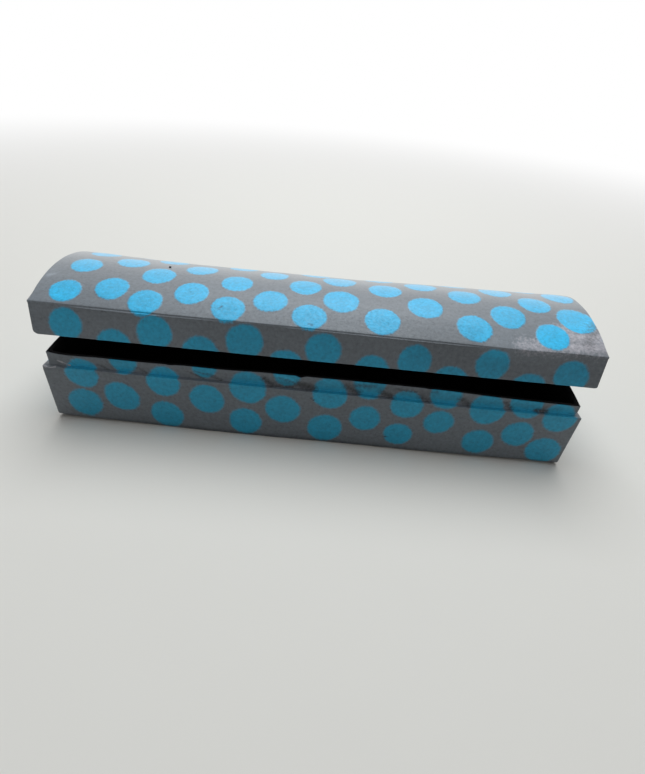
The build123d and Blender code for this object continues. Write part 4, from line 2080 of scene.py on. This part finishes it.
    def speck(self) -> Object:
        """Makes a crumb of dried black paste, stuck on the arch.

        Returns:
            The piece.
        """
        crumb = bmesh.new()
        bmesh.ops.create_icosphere(crumb, subdivisions=3, radius=1.0)
        points = np.array([vertex.co for vertex in crumb.verts])
        lumps = 1 + self.speck_roughness * self.speck_lumps.at(points)
        spot = np.array(Face.LID_TOP.spot(self.sizes, *self.speck_at))
        points = points * lumps[:, None] * np.array(self.speck_reach) + spot
        faces = [tuple(vertex.index for vertex in face.verts) for face in crumb.faces]
        crumb.free()
        piece = Shell(points, faces).to_object("paste_crumb", self.shape.place)
        return dress(piece, "lid", material=self.finishes.lining)


@dataclass
class HingeStrip:
    """The paper strip pasted across the back and painted with the rest, built at the lid's rest angle."""

    sizes: CaseSizes
    finishes: Finishes
    dauber: Dauber
    box: BoxBody
    lid: LidBody
    row_step: float = 0.7
    fold_fine: float = 0.12
    end_fine: float = 0.3
    fold_reach: float = 1.0
    relief: SkinRelief = SkinRelief(depth=0.04)

    def build(self) -> list[Object]:
        """Builds the strip, its points blended between the box's shape and the lid's at its rest angle.

        Returns:
            The strip, as a list of one.
        """
        s = self.sizes
        below = graded(s.hinge_z - s.strip_bottom, self.row_step, self.fold_fine) + s.strip_bottom
        above = graded(s.strip_top - s.hinge_z, self.row_step, self.fold_fine)[1:] + s.hinge_z
        levels = np.concatenate([below, above])
        inner = s.hinge_y - s.paper
        painted = [(s.hinge_y, level) for level in levels]
        section = np.array([*painted, *((inner, level) for level in levels[::-1])])
        stations = graded(2 * s.strip_half_length, self.row_step, self.end_fine) - s.strip_half_length
        shell = Shell.swept(bar_section(stations, section), False, len(levels))
        piece = shell.to_object("hinge_strip", self.place)
        dots = dot_points("strip_dots", self.box.layer, self.lid.layer)
        self.dauber.dab(piece, dots, self.finishes.strip, self.relief)
        bpy.data.objects.remove(dots)
        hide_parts("hinge_strip_box_half", "hinge_strip_lid_half")
        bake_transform(piece)
        return [piece]

    def place(self, points: Array) -> Array:
        """Lays the lower half on the box and the upper half on the lid, at its rest angle."""
        share = smooth_step(0.5 + (points[:, 2] - self.sizes.hinge_z) / (2 * self.fold_reach))[:, None]
        return (1 - share) * self.box.shape.place(points) + share * self.lid.shape.place(points)


@dataclass(frozen=True)
class Studio:
    """The table, the light and the camera. Lengths are in millimetres, and angles in degrees."""

    table_radius: float = 2500.0
    table_sides: int = 96
    camera_at: Triple = (4.7, -180.1, 138.2)
    # How far it is turned to one side, how far it looks down, and how far it is rolled.
    camera_angles: Triple = (-0.22, 36.67, 5.46)
    focal_pixels: float = 451.2
    sensor_height: float = 24.0
    nearest: float = 10.0
    farthest: float = 10000.0
    lamp_at: Triple = (0.0, 310.0, 900.0)
    lamp_size: float = 850.0
    lamp_watts: float = 9.5
    lamp_tint: str = "#F7FCFF"
    room_light: float = 0.18

    def build(self) -> None:
        """Sets the stage."""
        self.table()
        self.lamp()
        self.room()
        self.camera()
        bpy.context.scene.view_settings.view_transform = "Standard"

    def table(self) -> None:
        """Lays a round table top, far wider than the view."""
        disc = bmesh.new()
        radius = self.table_radius * MM
        bmesh.ops.create_circle(disc, cap_ends=True, segments=self.table_sides, radius=radius)
        mesh = bpy.data.meshes.new("table_top")
        disc.to_mesh(mesh)
        disc.free()
        mesh.materials.append(PaleTable().material("pale_cloth_laid_flat"))
        show("table_top", mesh)

    def lamp(self) -> None:
        """Hangs one broad soft light, high up and a little behind the case."""
        light = bpy.data.lights.new("window_light", "AREA")
        light.shape = "DISK"
        light.size = self.lamp_size * MM
        light.energy = self.lamp_watts
        light.color = linear(self.lamp_tint)[:3]
        lamp = show("window_light", light)
        lamp.location = Vector(self.lamp_at) * MM
        lamp.rotation_euler = (-lamp.location).to_track_quat("-Z", "Y").to_euler()

    def room(self) -> None:
        """Makes a dim room that looks white to the camera and in reflections."""
        world = bpy.data.worlds.new("room")
        world.use_nodes = True
        tree = world.node_tree
        tree.nodes.clear()
        seen = rays_of(tree, "Is Camera Ray", "Is Glossy Ray", "Is Transmission Ray")
        ramp = {"Value": seen, "To Min": self.room_light, "To Max": 1.0}
        light = {"Color": (1.0, 1.0, 1.0, 1.0), "Strength": add_node(tree, MAP_RANGE, ramp)}
        add_node(tree, "ShaderNodeOutputWorld", {"Surface": add_node(tree, "ShaderNodeBackground", light)})
        bpy.context.scene.world = world

    def camera(self) -> None:
        """Sets up the camera, at the photograph's viewpoint."""
        yaw, pitch, roll = (math.radians(angle) for angle in self.camera_angles)
        forward = Vector((math.sin(yaw) * math.cos(pitch), math.cos(yaw) * math.cos(pitch), -math.sin(pitch)))
        level = Vector((math.cos(yaw), -math.sin(yaw), 0.0))
        up = level.cross(forward)
        right = level * math.cos(roll) + up * math.sin(roll)
        above = up * math.cos(roll) - level * math.sin(roll)
        lens = bpy.data.cameras.new("camera")
        lens.sensor_fit = "VERTICAL"
        lens.sensor_height = self.sensor_height
        lens.lens = self.focal_pixels / IMAGE_HEIGHT * lens.sensor_height
        lens.clip_start, lens.clip_end = self.nearest * MM, self.farthest * MM
        camera = show("camera", lens)
        turn = Matrix((right, above, -forward)).transposed().to_4x4()
        camera.matrix_world = Matrix.Translation(Vector(self.camera_at) * MM) @ turn
        bpy.context.scene.camera = camera


def main() -> None:
    """Builds the studio, the box, the lid and the hinge strip."""
    logging.basicConfig(level=logging.INFO, format="%(message)s")
    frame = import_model()
    sizes = CaseSizes.from_frame(frame)
    Studio().build()
    finishes = Finishes()
    dauber = Dauber()
    box = BoxBody(sizes, finishes, dauber, frame["nodes"])
    lid = LidBody(sizes, finishes, dauber, frame["nodes"])
    strip = HingeStrip(sizes, finishes, dauber, box, lid)
    for assembly in (box, lid, strip):
        for piece in assembly.build():
            log.info("%s: %s, %d faces", type(assembly).__name__, piece.name, len(piece.data.polygons))
    for half in (box, lid):
        bpy.data.objects.remove(half.dots)


if __name__ == "__main__":
    main()
